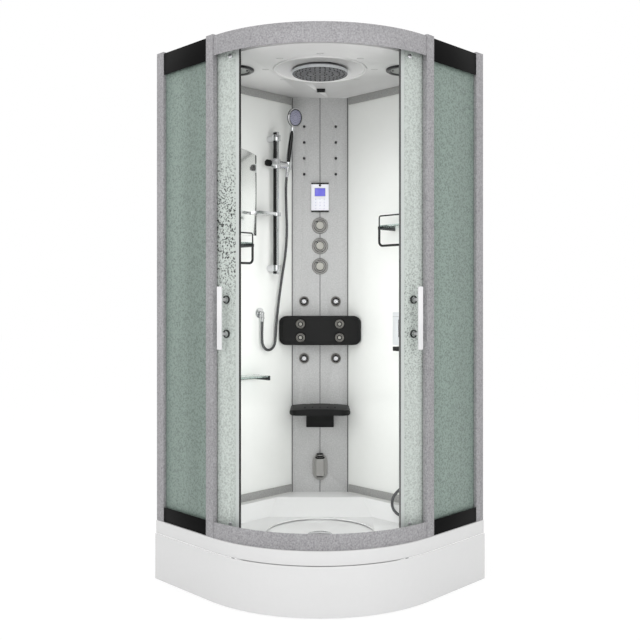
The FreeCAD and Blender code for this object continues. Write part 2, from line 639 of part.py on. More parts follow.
head_tab = tab("head_tab", "flange_wide", "rail_skin", FLANGE)
sill_tab = tab("sill_tab", "cap_wide", "post_deep + glass_play", "tray_rim")
node("head_rail", fuse("head_rail", head_arc, head_tab, mirrored("head_tab_right", head_tab)))
node("sill_rail", fuse("sill_rail", sill_arc, sill_tab, mirrored("sill_tab_right", sill_tab)))

# ---- Doors ----

GLASS_INNER = f"({DOOR_RADIUS} - pane / 2)"
GLASS_OUTER = f"({DOOR_RADIUS} + pane / 2)"
AXLE_LEVEL = f"({FLANGE} + rail_skin + wheel_radius + wheel_play)"


def spoke(angle, radius, level):
    """Place on the shut door, with its z pointing out from the arc's centre."""
    turn = Rotation(Z_AXIS, size(angle)) * Rotation(Vector(0, 1, 0), 90)
    reach = size(radius)
    foot = Vector(reach * math.cos(math.radians(size(angle))),
                  reach * math.sin(math.radians(size(angle))), size(level))
    return DOOR_FRAME * Placement(foot, turn)


def stub(name, radius, inner, outer, angle, level):
    """A round piece through or on the door, between two distances from the arc's centre."""
    return rod(name, radius, f"{outer} - {inner}", frame=spoke(angle, inner, level))


def slab(name, wide, inner, outer, low, high, angle):
    """A flat piece on the door: wide along it, between two distances from the arc's centre."""
    frame = DOOR_FRAME * Placement(Vector(), Rotation(Z_AXIS, size(angle)))
    return box(name, f"{outer} - {inner}", wide, f"{high} - ({low})", (inner, f"-({wide}) / 2", low), frame)


hanger_angles = (("lead", "hanger_lead"), ("tail", "hanger_tail"))
pane_arc = swept_arc("door_pane", [
    (GLASS_INNER, DOOR_FOOT), (GLASS_OUTER, DOOR_FOOT), (GLASS_OUTER, DOOR_TOP),
    (GLASS_INNER, DOOR_TOP)], "door_meet + door_tail",
    DOOR_FRAME * Placement(Vector(), Rotation(Z_AXIS, -size("door_tail"))))
bores = []
for label, level in BOSSES:
    bores.append(stub(f"boss_bore_{label}", "boss_radius + glass_play", f"({GLASS_INNER} - 5)",
                      f"({GLASS_OUTER} + 5)", "handle_angle", level))
for label, angle in hanger_angles:
    for spot, level in (("grip", HANGER_GRIP), ("guide", GUIDE_GRIP)):
        bores.append(stub(f"{spot}_bore_{label}", "grip_radius + glass_play", f"({GLASS_INNER} - 5)",
                          f"({GLASS_OUTER} + 5)", angle, level))
door_glass = node("door_glass_left", cut("door_glass_left", pane_arc, *bores))
node("door_glass_right", mirrored("door_glass_right", door_glass))

seal_inner, seal_outer = f"({DOOR_RADIUS} - seal_wide / 2)", f"({DOOR_RADIUS} + seal_wide / 2)"
seal_bar = swept_arc("seal_bar", [
    (seal_inner, DOOR_FOOT), (seal_outer, DOOR_FOOT), (seal_outer, DOOR_TOP),
    (seal_inner, DOOR_TOP)], "door_shut - door_meet + seal_grip",
    DOOR_FRAME * Placement(Vector(), Rotation(Z_AXIS, size("door_meet - seal_grip"))))
seal_slot = swept_arc("seal_slot", [
    (GLASS_INNER + " - 0.05", f"{DOOR_FOOT} - 1"), (GLASS_OUTER + " + 0.05", f"{DOOR_FOOT} - 1"),
    (GLASS_OUTER + " + 0.05", f"{DOOR_TOP} + 1"), (GLASS_INNER + " - 0.05", f"{DOOR_TOP} + 1")],
    "seal_grip + 1", DOOR_FRAME * Placement(Vector(), Rotation(Z_AXIS, size("door_meet - seal_grip - 1"))))
door_seal = node("door_seal_left", cut("door_seal_left", seal_bar, seal_slot))
node("door_seal_right", mirrored("door_seal_right", door_seal))

BAR_INNER, BAR_OUTER = f"({HANDLE_RADIUS} - handle_skin / 2)", f"({HANDLE_RADIUS} + handle_skin / 2)"
handle_parts = [slab("handle_bar", "handle_wide", BAR_INNER, BAR_OUTER, "handle_base",
                     "handle_base + handle_tall", "handle_angle")]
for label, level in BOSSES:
    handle_parts.append(stub(f"handle_boss_{label}", "boss_radius", f"({GLASS_INNER} - 1)",
                             f"({BAR_INNER} + 1)", "handle_angle", level))
    handle_parts.append(stub(f"handle_knob_{label}", "knob_disc",
                             f"({GLASS_INNER} - glass_play - knob_disc_deep)",
                             f"({GLASS_INNER} - glass_play)", "handle_angle", level))
door_handle = node("door_handle_left", fuse("door_handle_left", *handle_parts))
node("door_handle_right", mirrored("door_handle_right", door_handle))

PLATE_OUT = f"({GLASS_INNER} - hanger_stand)"
PLATE_IN = f"({GLASS_INNER} - hanger_stand - hanger_skin)"
AXLE_OUT = f"({WHEEL_RUN} + wheel_wide / 2 + 3)"
door_ironwork = []
for label, angle in hanger_angles:
    door_ironwork.append(fuse(
        f"hanger_{label}",
        slab(f"hanger_plate_{label}", "hanger_wide", PLATE_IN, PLATE_OUT, HANGER_LOW,
             f"{AXLE_LEVEL} + axle_radius * 3", angle),
        stub(f"hanger_spacer_{label}", "grip_head", PLATE_OUT, f"({GLASS_INNER} - 0.1)", angle, HANGER_GRIP),
        stub(f"hanger_bolt_{label}", "grip_radius", f"({PLATE_OUT} - 1)",
             f"({GLASS_OUTER} + 2)", angle, HANGER_GRIP),
        stub(f"hanger_head_{label}", "grip_head", f"({GLASS_OUTER} + 0.1)", f"({GLASS_OUTER} + 4)",
             angle, HANGER_GRIP),
        stub(f"axle_{label}", "axle_radius", f"({PLATE_OUT} - 1)", AXLE_OUT, angle, AXLE_LEVEL),
        stub(f"axle_collar_{label}", "axle_radius + 2", PLATE_OUT,
             f"({WHEEL_RUN} - wheel_wide / 2 - 0.3)", angle, AXLE_LEVEL),
        stub(f"axle_cap_{label}", "axle_radius + 2", f"({WHEEL_RUN} + wheel_wide / 2 + 0.3)", AXLE_OUT,
             angle, AXLE_LEVEL)))
    door_ironwork.append(fuse(
        f"guide_{label}",
        slab(f"guide_block_{label}", "guide_wide", f"({GLASS_INNER} - 0.3 - guide_deep)",
             f"({GLASS_INNER} - 0.3)", GUIDE_LOW, f"{GUIDE_LOW} + guide_tall", angle),
        stub(f"guide_bolt_{label}", "grip_radius", f"({GLASS_INNER} - 1)", f"({GLASS_OUTER} + 2)",
             angle, GUIDE_GRIP),
        stub(f"guide_head_{label}", "grip_radius + 2", f"({GLASS_OUTER} + 0.1)",
             f"({GLASS_OUTER} + 3)", angle, GUIDE_GRIP)))
    wheel = turned(f"roller_left_{label}", [
        ("axle_radius + axle_play", "-wheel_wide / 2"), ("wheel_radius - 1", "-wheel_wide / 2"),
        ("wheel_radius", "-wheel_wide / 2 + 1"), ("wheel_radius", "wheel_wide / 2 - 1"),
        ("wheel_radius - 1", "wheel_wide / 2"), ("axle_radius + axle_play", "wheel_wide / 2")],
        spoke(angle, WHEEL_RUN, AXLE_LEVEL))
    node(f"roller_left_{label}", wheel)
    node(f"roller_right_{label}", mirrored(f"roller_right_{label}", wheel))
door_hangers = node("door_hangers_left", group("door_hangers_left", *door_ironwork))
node("door_hangers_right", mirrored("door_hangers_right", door_hangers))

# ---- Roof ----

def roof_solid(inset, wall, low, rim, top):
    shoulder = quadrant(inset, wall, rim)
    dome = quadrant(inset + size("roof_slope"), wall + size("roof_back_slope"), top)
    return prism(quadrant(inset, wall, low), rim - low).fuse(loft(shoulder, dome))


def roof_shell():
    low = size("frame_top + ceiling_flange")
    rim = low + size("roof_rim")
    skin = size("roof_skin")
    inset, top = size("roof_inset"), size("frame_top + roof_rise")
    wall = size("ceiling_wall")
    outer = roof_solid(inset, wall, low, rim, top)
    inner = roof_solid(inset + skin, wall + skin, low, rim, top - skin)
    return outer.cut(inner)


CEILING = size(WALL_TOP)
BACK = COLUMN_FACE + size("column_skin")
RISER_Y = BACK + 4 + size("mixer_deep") / 2


def ceiling_panel():
    skin = size("ceiling_skin")
    inset, wall = size("ceiling_inset"), size("ceiling_wall")
    flange_low = size("frame_top")
    flange_top = flange_low + size("ceiling_flange")
    pan = prism(quadrant(inset, wall, CEILING), flange_top - CEILING)
    room = prism(quadrant(inset + skin, wall + skin, CEILING + skin), flange_top - CEILING)
    brim = prism(quadrant(size("roof_inset"), wall, flange_low), flange_top - flange_low)
    solid = pan.fuse(brim).cut(room)
    to_plan = PLAN.inverse()
    rain = to_plan.multVec(Vector(0, DEPTH / 2 - size("rain_depth"), CEILING))
    ring_wide = size("ring_wide")
    ring = Part.makeTorus(size("ring_radius"), ring_wide, rain)
    below = Part.makeBox(SIDE, SIDE, ring_wide, Vector(0, 0, CEILING - size("ring_tall")))
    solid = solid.fuse(ring.common(below))
    solid = solid.cut(Part.makeCylinder(size("rain_stem") + 0.5, 40, rain - Vector(0, 0, 20)))
    gap = 0.5
    vent = Part.makeBox(size("grille_wide") - 8 + 2 * gap, size("grille_long") - 8 + 2 * gap, 40)
    vent.translate(Vector(size("fan_offset") - size("grille_wide") / 2 + 4 - gap,
                          DEPTH / 2 - size("fan_depth") - size("grille_long") / 2 + 4 - gap, CEILING - 20))
    vent.Placement = to_plan * vent.Placement
    riser = to_plan.multVec(Vector(size(RISER_ACROSS), RISER_Y, CEILING - 20))
    solid = solid.cut(Part.makeCylinder(size("riser_radius") + 1, 40, riser))
    return solid.cut(vent).removeSplitter()


node("roof_shell", shaped("roof_shell", roof_shell(), PLAN))
node("ceiling_panel", shaped("ceiling_panel", ceiling_panel(), PLAN))

RAIN = Placement(Vector(0, DEPTH / 2 - size("rain_depth"), 0), UPRIGHT)
rain_face = f"{WALL_TOP} - rain_deep"
rain = turned("rain_head", [
    (0, rain_face), ("rain_radius - 3", rain_face), ("rain_radius", rain_face + " + 3"),
    ("rain_radius", f"{WALL_TOP} - 6"), ("rain_radius - 8", f"{WALL_TOP} - 1.5"),
    ("rain_stem + 8", f"{WALL_TOP} - 0.3"), ("rain_stem", WALL_TOP),
    ("rain_stem", f"{WALL_TOP} + ceiling_skin + rain_neck - 8"),
    (0, f"{WALL_TOP} + ceiling_skin + rain_neck - 8")],
    RAIN)
for ring_number, share in enumerate((0.25, 0.5, 0.75, 0.92), start=1):
    seat = circles(rain, "XY_Plane", f"nozzle_ring_{ring_number}",
                   [(f"rain_radius * {share} * 0.95", 0, "nozzle_radius")])
    seat.AttachmentOffset = Placement(Vector(0, 0, size(rain_face) - size("nozzle_tall")), UPRIGHT)
    nozzle = pad(rain, seat, "nozzle_tall + 1")
    ring_pattern = rain.newObject("PartDesign::PolarPattern", f"nozzles_{ring_number}")
    ring_pattern.Originals = [nozzle]
    ring_pattern.Axis = (seat, ["N_Axis"])
    ring_pattern.Angle = 360
    ring_pattern.Occurrences = ring_number * 8
    rain.Tip = ring_pattern
node("rain_head", rain)

LAMP = Placement(Vector(-size("lamp_across"), DEPTH / 2 - size("lamp_depth"), 0), UPRIGHT)
lamp_ring = turned("lamp_ring", [
    ("lamp_lens + glass_play", f"{WALL_TOP} - lamp_deep + 1"), ("lamp_radius - 6", f"{WALL_TOP} - lamp_deep"),
    ("lamp_radius", f"{WALL_TOP} - 2"), ("lamp_radius", WALL_TOP),
    ("lamp_lens + glass_play", WALL_TOP)], LAMP)
lamp_lens = turned("lamp_lens", [
    (0, f"{WALL_TOP} - lamp_deep + 1"), ("lamp_lens - 10", f"{WALL_TOP} - lamp_deep + 1.5"),
    ("lamp_lens", f"{WALL_TOP} - 3"), ("lamp_lens", WALL_TOP), (0, WALL_TOP)], LAMP)
node("roof_lamps", group("roof_lamps", lamp_ring, lamp_lens, mirrored("lamp_ring_right", lamp_ring),
                         mirrored("lamp_lens_right", lamp_lens)))

FAN = Placement(Vector(size("fan_offset"), DEPTH / 2 - size("fan_depth"), 0), UPRIGHT)


def centred(name, wide, deep, tall, low, frame):
    return box(name, wide, deep, tall, (f"-({wide}) / 2", f"-({deep}) / 2", low), frame)


fan_body = fuse("fan_body",
                centred("fan_grille", "grille_wide", "grille_long", "grille_deep",
                        f"{WALL_TOP} - grille_deep", FAN),
                centred("fan_throat", "grille_wide - 8", "grille_long - 8", "ceiling_skin + 2",
                        f"{WALL_TOP} - 1", FAN),
                centred("fan_housing", "fan_box", "fan_box", "fan_tall", f"{WALL_TOP} + ceiling_skin", FAN))
slats = [centred(f"fan_slot_{number}", "grille_wide - 10", 3, "grille_deep",
                 f"{WALL_TOP} - grille_deep - 1.5",
                 FAN * Placement(Vector(0, (number - 3) * 7.5, 0), UPRIGHT))
         for number in range(7)]
node("exhaust_fan", cut("exhaust_fan", fan_body, *slats))

# ---- Controls on the column ----

def on_column(across, level, out=0.0):
    """Place on the column's face; its z comes out at the bather."""
    return Placement(Vector(size(across), COLUMN_FACE - out, size(level)), OUTWARD)


panel = body("panel_body", Placement(Vector(0, COLUMN_FACE, 0), UPRIGHT))
pad(panel, outline(panel, "XZ_Plane", "panel_front", [
    ("-panel_wide / 2", PANEL_BASE), ("panel_wide / 2", PANEL_BASE),
    ("panel_wide / 2", f"{PANEL_BASE} + panel_tall"), ("-panel_wide / 2", f"{PANEL_BASE} + panel_tall")]),
    "panel_deep")
doc.recompute()
panel_block = panel.Tip
rounding = panel.newObject("PartDesign::Fillet", "panel_rounding")
rounding.Base = (panel_block, [f"Edge{place}" for place, edge in enumerate(panel_block.Shape.Edges, start=1)
                               if abs(edge.BoundBox.YLength - size("panel_deep")) < 1e-3])
rounding.Radius = 3
panel.Tip = rounding
PANEL_FRONT = f"{COLUMN_FACE} - panel_deep"
screen_low = f"{PANEL_BASE} + panel_tall - screen_drop - screen_tall"
window = box("screen_window", "screen_wide", "screen_deep", "screen_tall",
             ("-screen_wide / 2", PANEL_FRONT, screen_low))
sensor = rod("sensor_notch", "sensor_radius", 1.5,
             (0, PANEL_FRONT, f"{PANEL_BASE} + panel_tall - panel_strip - 6"),
             Vector(0, 1, 0))
panel_shell = cut("panel_shell", panel, window, sensor)
keys = [rod(f"key_{column}_{line}", "key_radius", "key_rise + 1",
            (f"{column - 1} * key_pitch", f"{PANEL_FRONT} - key_rise",
             f"{PANEL_BASE} + panel_strip + 8 + {line} * 13.5"), Vector(0, 1, 0))
        for column in range(3) for line in range(4)]
node("control_panel", fuse("control_panel", panel_shell, *keys))
node("control_screen", box("control_screen", "screen_wide - 0.4", "screen_deep - 0.2", "screen_tall - 0.4",
                           ("-screen_wide / 2 + 0.2", f"{PANEL_FRONT} + 0.2", screen_low + " + 0.2")))

plates = []
valves = (("upper", "valve_top"), ("middle", VALVE_MIDDLE), ("lower", VALVE_BASE))
for label, level in valves:
    plates.append(turned(f"plate_{label}", [
        ("stem_radius + fit_play", 0), ("plate_radius", 0), ("plate_radius", 2),
        ("plate_radius - 3", "plate_deep"), ("knob_radius + 2", "plate_deep - 2.5"),
        ("stem_radius + fit_play", "plate_deep - 2.5")], on_column(0, level)))
    knob = turned(f"knob_{label}", [
        (0, "-stem_long"), ("stem_radius", "-stem_long"), ("stem_radius", "plate_deep"),
        ("knob_radius", "plate_deep + knob_gap"), ("knob_radius - 1", "knob_deep - 3"),
        ("knob_radius - 4", "knob_deep"), (0, "knob_deep + 1")],
        on_column(0, level) * Placement(Vector(), Rotation(Z_AXIS, size("knob_turn"))))
    lever = outline(knob, "XY_Plane", f"lever_{label}", [
        ("-knob_lever / 2", "knob_radius - 8"), ("knob_lever / 2", "knob_radius - 8"),
        ("knob_lever / 3", "knob_reach"), ("-knob_lever / 3", "knob_reach")])
    lever.AttachmentOffset = Placement(Vector(0, 0, size("plate_deep") + 4), UPRIGHT)
    pad(knob, lever, 9)
    node(f"valve_knob_{label}", knob)
node("valve_plates", group("valve_plates", *plates))

# ---- Jets ----

jets = []
for label, level in (("upper", JET_UPPER), ("lower", JET_LOWER)):
    frame = on_column("-jet_across", level)
    housing = turned(f"jet_housing_{label}", [
        ("jet_radius - 4", "jet_deep"), ("jet_radius", "jet_deep - 4"), ("jet_radius", 0),
        ("jet_shank", 0), ("jet_shank", "-shank_long"),
        ("ball_radius + ball_play", "-shank_long"), ("ball_radius + ball_play", "jet_deep")], frame)
    jets += [housing, mirrored(f"jet_housing_right_{label}", housing)]
    ball = shaped(f"jet_nozzle_left_{label}", Part.Shape(), frame)
    r, face, back = size("ball_radius"), size("ball_face"), size("ball_back")
    globe = Part.makeSphere(r)
    globe = globe.common(Part.makeCylinder(r + 1, face + back, Vector(0, 0, -back)))
    for turn in range(5):
        spot = Rotation(Z_AXIS, 72 * turn).multVec(Vector(r * 0.42, 0, 0))
        globe = globe.cut(Part.makeCylinder(1.4, 3, spot + Vector(0, 0, face - 3)))
    globe = globe.cut(Part.makeCylinder(2, 4, Vector(0, 0, face - 4)))
    ball.Shape = globe
    ball.Placement = frame * Placement(Vector(0, 0, -2), UPRIGHT)
    node(f"jet_nozzle_left_{label}", ball)
    node(f"jet_nozzle_right_{label}", mirrored(f"jet_nozzle_right_{label}", ball))
for step in range(4):
    mini = turned(f"mini_jet_{step}", [
        (0, "-column_skin - 8"), ("mini_shank", "-column_skin - 8"), ("mini_shank", 0),
        ("mini_radius", 0), ("mini_radius", "mini_deep - 2"), ("mini_radius - 2", "mini_deep"),
        (1.5, "mini_deep"), (1.5, 1), (0, 1)],
        on_column("-jet_across", f"{MINI_TOP} - {step} * mini_pitch"))
    jets += [mini, mirrored(f"mini_jet_right_{step}", mini)]

# ---- Back rest ----

def backrest_pad():
    """A padded block between the walls: it widens along them, then rounds over to its face."""
    back, front = size("column_depth"), size(REST_FRONT)
    gap = size("rest_wall_gap")
    half = size("rest_half")
    slack = size("wall_face") * math.sqrt(2) + gap * math.sqrt(2)
    shoulder = half + slack
    crown = 10
    at = lambda x, depth: Vector(x, DEPTH / 2 - depth, 0)
    edges = [Part.LineSegment(at(-(back - slack), back), at(back - slack, back)).toShape(),
             Part.LineSegment(at(back - slack, back), at(half, shoulder)).toShape(),
             Part.Arc(at(half, shoulder), at(half - 4, (shoulder + front - 4) / 2),
                      at(half - 16, front - 4)).toShape(),
             Part.Arc(at(half - 16, front - 4), at(0, front + crown - 4),
                      at(-half + 16, front - 4)).toShape(),
             Part.Arc(at(-half + 16, front - 4), at(-half + 4, (shoulder + front - 4) / 2),
                      at(-half, shoulder)).toShape(),
             Part.LineSegment(at(-half, shoulder), at(-(back - slack), back)).toShape()]
    block = prism(Part.Wire(edges), size("rest_tall"))
    block.translate(Vector(0, 0, size("rest_base")))
    radius = size("rest_round")
    low, tall = size("rest_base"), size("rest_tall")
    reach = 2 * front
    ends = Part.makeBox(2 * half, reach, tall, Vector(-half, COLUMN_FACE - reach + 1, low))
    rounded = [edge for edge in ends.Edges if abs(edge.BoundBox.YLength - reach) < 1e-3]
    ends = ends.makeFillet(radius, rounded)
    return block.common(ends)


rest = shaped("rest_block", backrest_pad())
rest_jets = []
seats = []
for label, level in (("upper", "rest_base + rest_jet_high"), ("lower", "rest_base + rest_jet_low")):
    frame = Placement(Vector(-size("rest_jet_across"), DEPTH / 2 - size(REST_FRONT), size(level)), OUTWARD)
    seat_bore = rod(f"rest_bore_{label}", "rest_ring", 40, (0, 0, "-14"), frame=frame)
    seats += [seat_bore, mirrored(f"rest_bore_right_{label}", seat_bore)]
    rest_jet = turned(f"rest_jet_{label}", [
        (0, -13.7), ("rest_ring - 0.3", -13.7), ("rest_ring - 0.3", 2), ("rest_ring - 2", 4.5),
        ("rest_jet_radius", 4.5), ("rest_jet_radius", "rest_jet_deep + 1"),
        ("rest_jet_radius - 4", "rest_jet_deep + 3"), (6, "rest_jet_deep + 1.5"),
        (4, "rest_jet_deep + 4"), (0, "rest_jet_deep + 4.5")], frame)
    rest_jets += [rest_jet, mirrored(f"rest_jet_right_{label}", rest_jet)]
node("backrest_pad", cut("backrest_pad", rest, *seats))
node("water_jets", group("water_jets", *jets, *rest_jets))

# ---- Folding seat ----

PIVOT = Vector(0, DEPTH / 2 - size(PIVOT_DEPTH), size("seat_top - seat_thick / 2"))


def seat_pan():
    half, thick, crown = size("seat_half"), size("seat_thick"), size("seat_crown")
    top = size("seat_top")
    low = top - thick
    end_top = top - crown
    bulge = (end_top - low) / 2
    at = lambda x, z: Vector(x, 0, z)
    edges = [Part.LineSegment(at(-half + bulge, low), at(half - bulge, low)).toShape(),
             Part.Arc(at(half - bulge, low), at(half, low + bulge), at(half - bulge, end_top)).toShape(),
             Part.Arc(at(half - bulge, end_top), at(0, top), at(-half + bulge, end_top)).toShape(),
             Part.Arc(at(-half + bulge, end_top), at(-half, low + bulge), at(-half + bulge, low)).toShape()]
    reach = size("seat_reach - seat_clear")
    bar = Part.Face(Part.Wire(edges)).extrude(Vector(0, reach, 0))
    bar.translate(Vector(0, DEPTH / 2 - size(SEAT_FRONT), 0))
    radius = size("seat_round")
    block = Part.makeBox(2 * half, reach, thick + 2, Vector(-half, DEPTH / 2 - size(SEAT_FRONT), low - 1))
    block = block.makeFillet(radius, [edge for edge in block.Edges
                                      if abs(edge.BoundBox.ZLength - thick - 2) < 1e-3
                                      and edge.BoundBox.YMax < DEPTH / 2 - size(SEAT_FRONT) + 1])
    pan = bar.common(block)
    play = size("ear_play")
    outer, wide = size("bracket_half"), size("ear_wide")
    for side in (-1, 1):
        middle = side * (outer - wide / 2 - 2)
        notch = Part.makeBox(wide + 2 * play, size("ear_radius + ear_play") * 2 + 60, thick * 3,
                             Vector(middle - wide / 2 - play, PIVOT.y - size("ear_radius + ear_play"),
                                    low - thick))
        pan = pan.cut(notch)
    bore = Part.makeCylinder(size("pin_radius + pin_play"), 4 * half,
                             PIVOT - Vector(2 * half, 0, 0), Vector(1, 0, 0))
    inner_half = outer + 3
    bore = bore.common(Part.makeBox(2 * inner_half, 40, 40, Vector(-inner_half, PIVOT.y - 20, PIVOT.z - 20)))
    return pan.cut(bore)


node("seat_pan", shaped("seat_pan", seat_pan()))

PIVOT_LEVEL = "seat_top - seat_thick / 2"
seat_low = "seat_top - seat_thick"
bracket_parts = [
    box("bracket_plate", "2 * bracket_half", "bracket_skin", f"{seat_low} - {BRACKET_BASE} - 1",
        ("-bracket_half", f"{COLUMN_FACE} - bracket_skin", BRACKET_BASE)),
]
for side in (-1, 1):
    middle = f"{side} * (bracket_half - ear_wide / 2 - 2) - ear_wide / 2"
    tag = "left" if side < 0 else "right"
    bracket_parts.append(box(f"ear_arm_{tag}", "ear_wide", f"{PIVOT_DEPTH} - column_depth",
                             "ear_radius * 2 + 16",
                             (middle, f"{DEPTH / 2} - {PIVOT_DEPTH}", f"{PIVOT_LEVEL} - ear_radius - 16")))
    bracket_parts.append(rod(f"ear_eye_{tag}", "ear_radius", "ear_wide",
                             (middle, f"{DEPTH / 2} - {PIVOT_DEPTH}", PIVOT_LEVEL), Vector(1, 0, 0)))
prop = body("seat_prop", Placement(Vector(0, COLUMN_FACE, 0), UPRIGHT))
pad(prop, outline(prop, "YZ_Plane", "prop_side", [
    ("-bracket_skin + 1", BRACKET_BASE), ("-bracket_skin - 8", BRACKET_BASE),
    ("-prop_reach", f"{seat_low} - prop_lip"), ("-prop_reach", f"{seat_low} - seat_play"),
    ("-prop_shoulder", f"{seat_low} - seat_play"), ("-prop_shoulder", f"{seat_low} - prop_lip / 2"),
    ("-bracket_skin + 1", f"{seat_low} - prop_lip / 2")]), "2 * bracket_half - 4", midplane=True)
bracket_core = fuse("bracket_core", *bracket_parts, prop)
pin_bore = rod("pin_bore", "pin_radius", "4 * bracket_half",
               ("-2 * bracket_half", f"{DEPTH / 2} - {PIVOT_DEPTH}",
                                                                PIVOT_LEVEL), Vector(1, 0, 0))
pin = rod("seat_pin", "pin_radius", "2 * bracket_half", ("-bracket_half", f"{DEPTH / 2} - {PIVOT_DEPTH}",
                                                         PIVOT_LEVEL), Vector(1, 0, 0))
node("seat_bracket", group("seat_bracket", cut("bracket_body", bracket_core, pin_bore), pin))

# ---- Steam outlet ----

def oval(wide, tall, deep, level, start):
    """A block with round ends, standing out from the column."""
    radius = wide / 2
    at = lambda x, z: Vector(x, 0, z)
    low, high = level + radius, level + tall - radius
    edges = [Part.LineSegment(at(radius, low), at(radius, high)).toShape(),
             Part.Arc(at(radius, high), at(0, high + radius), at(-radius, high)).toShape(),
             Part.LineSegment(at(-radius, high), at(-radius, low)).toShape(),
             Part.Arc(at(-radius, low), at(0, low - radius), at(radius, low)).toShape()]
    solid = Part.Face(Part.Wire(edges)).extrude(Vector(0, -deep, 0))
    solid.translate(Vector(0, COLUMN_FACE - start, 0))
    return solid


def steam_shell():
    wide, tall, base = size("steam_wide"), size("steam_tall"), size("steam_base")
    deep, dome = size("steam_deep"), size("steam_dome")
    flange = oval(wide, tall, deep, base, 0)
    flange = flange.makeFillet(4, [edge for edge in flange.Edges
                                   if abs(edge.BoundBox.YMax - (COLUMN_FACE - deep)) < 1e-3
                                   and edge.BoundBox.YLength < 1e-3])
    inset = 9
    hood = oval(wide - 2 * inset, tall - 2 * inset, dome, base + inset, deep - 1)
    hood = hood.makeFillet(12, [edge for edge in hood.Edges
                                if abs(edge.BoundBox.YMax - (COLUMN_FACE - deep + 1 - dome)) < 1e-3
                                and edge.BoundBox.YLength < 1e-3])
    slit = Part.makeBox(wide - 4 * inset, dome, size("steam_slit"),
                        Vector(-(wide - 4 * inset) / 2, COLUMN_FACE - deep - dome, base + inset + 8))
    shank = Part.makeCylinder(size("steam_pipe"), size("column_skin") + 10,
                              Vector(0, COLUMN_FACE - 1, base + tall / 2), Vector(0, 1, 0))
    return flange.fuse([hood, shank]).cut(slit)


steam_cap = rod("steam_cap", "steam_cap", "steam_cap_tall",
                (0, f"{COLUMN_FACE} - steam_deep - 9", "steam_base + steam_tall - 7"))
steam_body = cut("steam_body", shaped("steam_shell", steam_shell()),
                 rod("cap_seat", "steam_cap + 0.05", "steam_cap_tall + 20",
                     (0, f"{COLUMN_FACE} - steam_deep - 9", "steam_base + steam_tall - 7")))
node("steam_outlet", group("steam_outlet", steam_body, steam_cap))

# ---- Slide bar, slider and hand shower ----

BAR_Y = "(wall_face + bar_off)"
bar = rod("bar_tube", "bar_radius", f"{BAR_TOP} - bar_base", ("bar_along", BAR_Y, "bar_base"), frame=PLAN)
mounts = []
for label, level in (("low", "bar_base + mount_end"), ("high", f"{BAR_TOP} - mount_end")):
    boss = rod(f"mount_boss_{label}", "mount_radius", "bar_off", ("bar_along", "wall_face", level),
               Vector(0, 1, 0), PLAN)
    ring = rod(f"mount_ring_{label}", "mount_ring", "mount_tall",
               ("bar_along", BAR_Y, f"{level} - mount_tall / 2"),
               frame=PLAN)
    bore = rod(f"mount_bore_{label}", "bar_radius + fit_play", "mount_tall + 10",
               ("bar_along", BAR_Y, f"{level} - mount_tall / 2 - 5"), frame=PLAN)
    mounts.append(cut(f"bar_mount_{label}", fuse(f"mount_solid_{label}", boss, ring), bore))
node("slide_bar", group("slide_bar", bar, *mounts))

ALONG = Vector(1, 0, 0)
barrel = rod("slider_barrel", "barrel_radius", "barrel_front + barrel_back",
             ("bar_along - barrel_back", BAR_Y, SLIDER), ALONG, PLAN)
collar = rod("slider_collar", "bar_radius + 6", "barrel_radius * 2 + 10",
             ("bar_along", BAR_Y, f"{SLIDER} - barrel_radius - 5"), frame=PLAN)
slider_bore = rod("slider_bore", "bar_radius + fit_play", "barrel_radius * 4",
                  ("bar_along", BAR_Y, f"{SLIDER} - 2 * barrel_radius"), frame=PLAN)
node("bar_slider", cut("bar_slider", fuse("slider_solid", barrel, collar), slider_bore))

turn_start = "bar_along + barrel_front + 0.3"
knob_core = rod("turn_core", "turn_radius", "turn_long", (turn_start, BAR_Y, SLIDER), ALONG, PLAN)
flutes = [rod(f"turn_flute_{number}", 2.2, "turn_long + 4",
              (f"{turn_start} - 2", f"{BAR_Y} + turn_radius * {math.cos(number * math.pi / 4)}",
               f"{SLIDER} + turn_radius * {math.sin(number * math.pi / 4)}"), ALONG, PLAN)
          for number in range(8)]
node("slider_knob", cut("slider_knob", knob_core, *flutes))

# The hand shower stands in its cradle; both tilt about the barrel's axis.
HAND = PLAN * Placement(Vector(size("bar_along - cradle_long"), size(BAR_Y), size(SLIDER)),
                        Rotation(Vector(1, 0, 0), -size("hand_tilt")))
grip = turned("hand_grip", [
    (0, "-grip_low"), ("hose_radius + 3", "-grip_low"), ("grip_thick - 2", "-grip_low + 12"),
    ("grip_thick", "cradle_tall / 2 + 2"), ("grip_thin", "hand_long / 2"),
    ("grip_thin + 1", "hand_long - hand_radius"), ("grip_thin - 3", "hand_long - 14"),
    (0, "hand_long - 14")], HAND)
head = turned("hand_head", [
    (0, "-hand_deep / 2"), ("hand_radius * 0.55", "-hand_deep / 2 + 1"), ("hand_radius", "hand_deep / 2 - 9"),
    ("hand_radius", "hand_deep / 2 - 2"), ("hand_radius - 3", "hand_deep / 2"),
    ("hand_radius - 8", "hand_deep / 2 - 1.5"), (0, "hand_deep / 2 - 1.5")],
    HAND * Placement(Vector(0, 4, size("hand_long")), Rotation(Vector(1, 0, 0), -90)))
cradle = rod("cradle_ring", "cradle_ring", "cradle_tall", (0, 0, "-cradle_tall / 2"), frame=HAND)
arm = rod("cradle_arm", "barrel_radius - 1", "cradle_long - barrel_back - 1",
          (0, 0, 0), ALONG, HAND)
node("hand_shower", fuse("hand_shower", grip, head, cradle, arm))

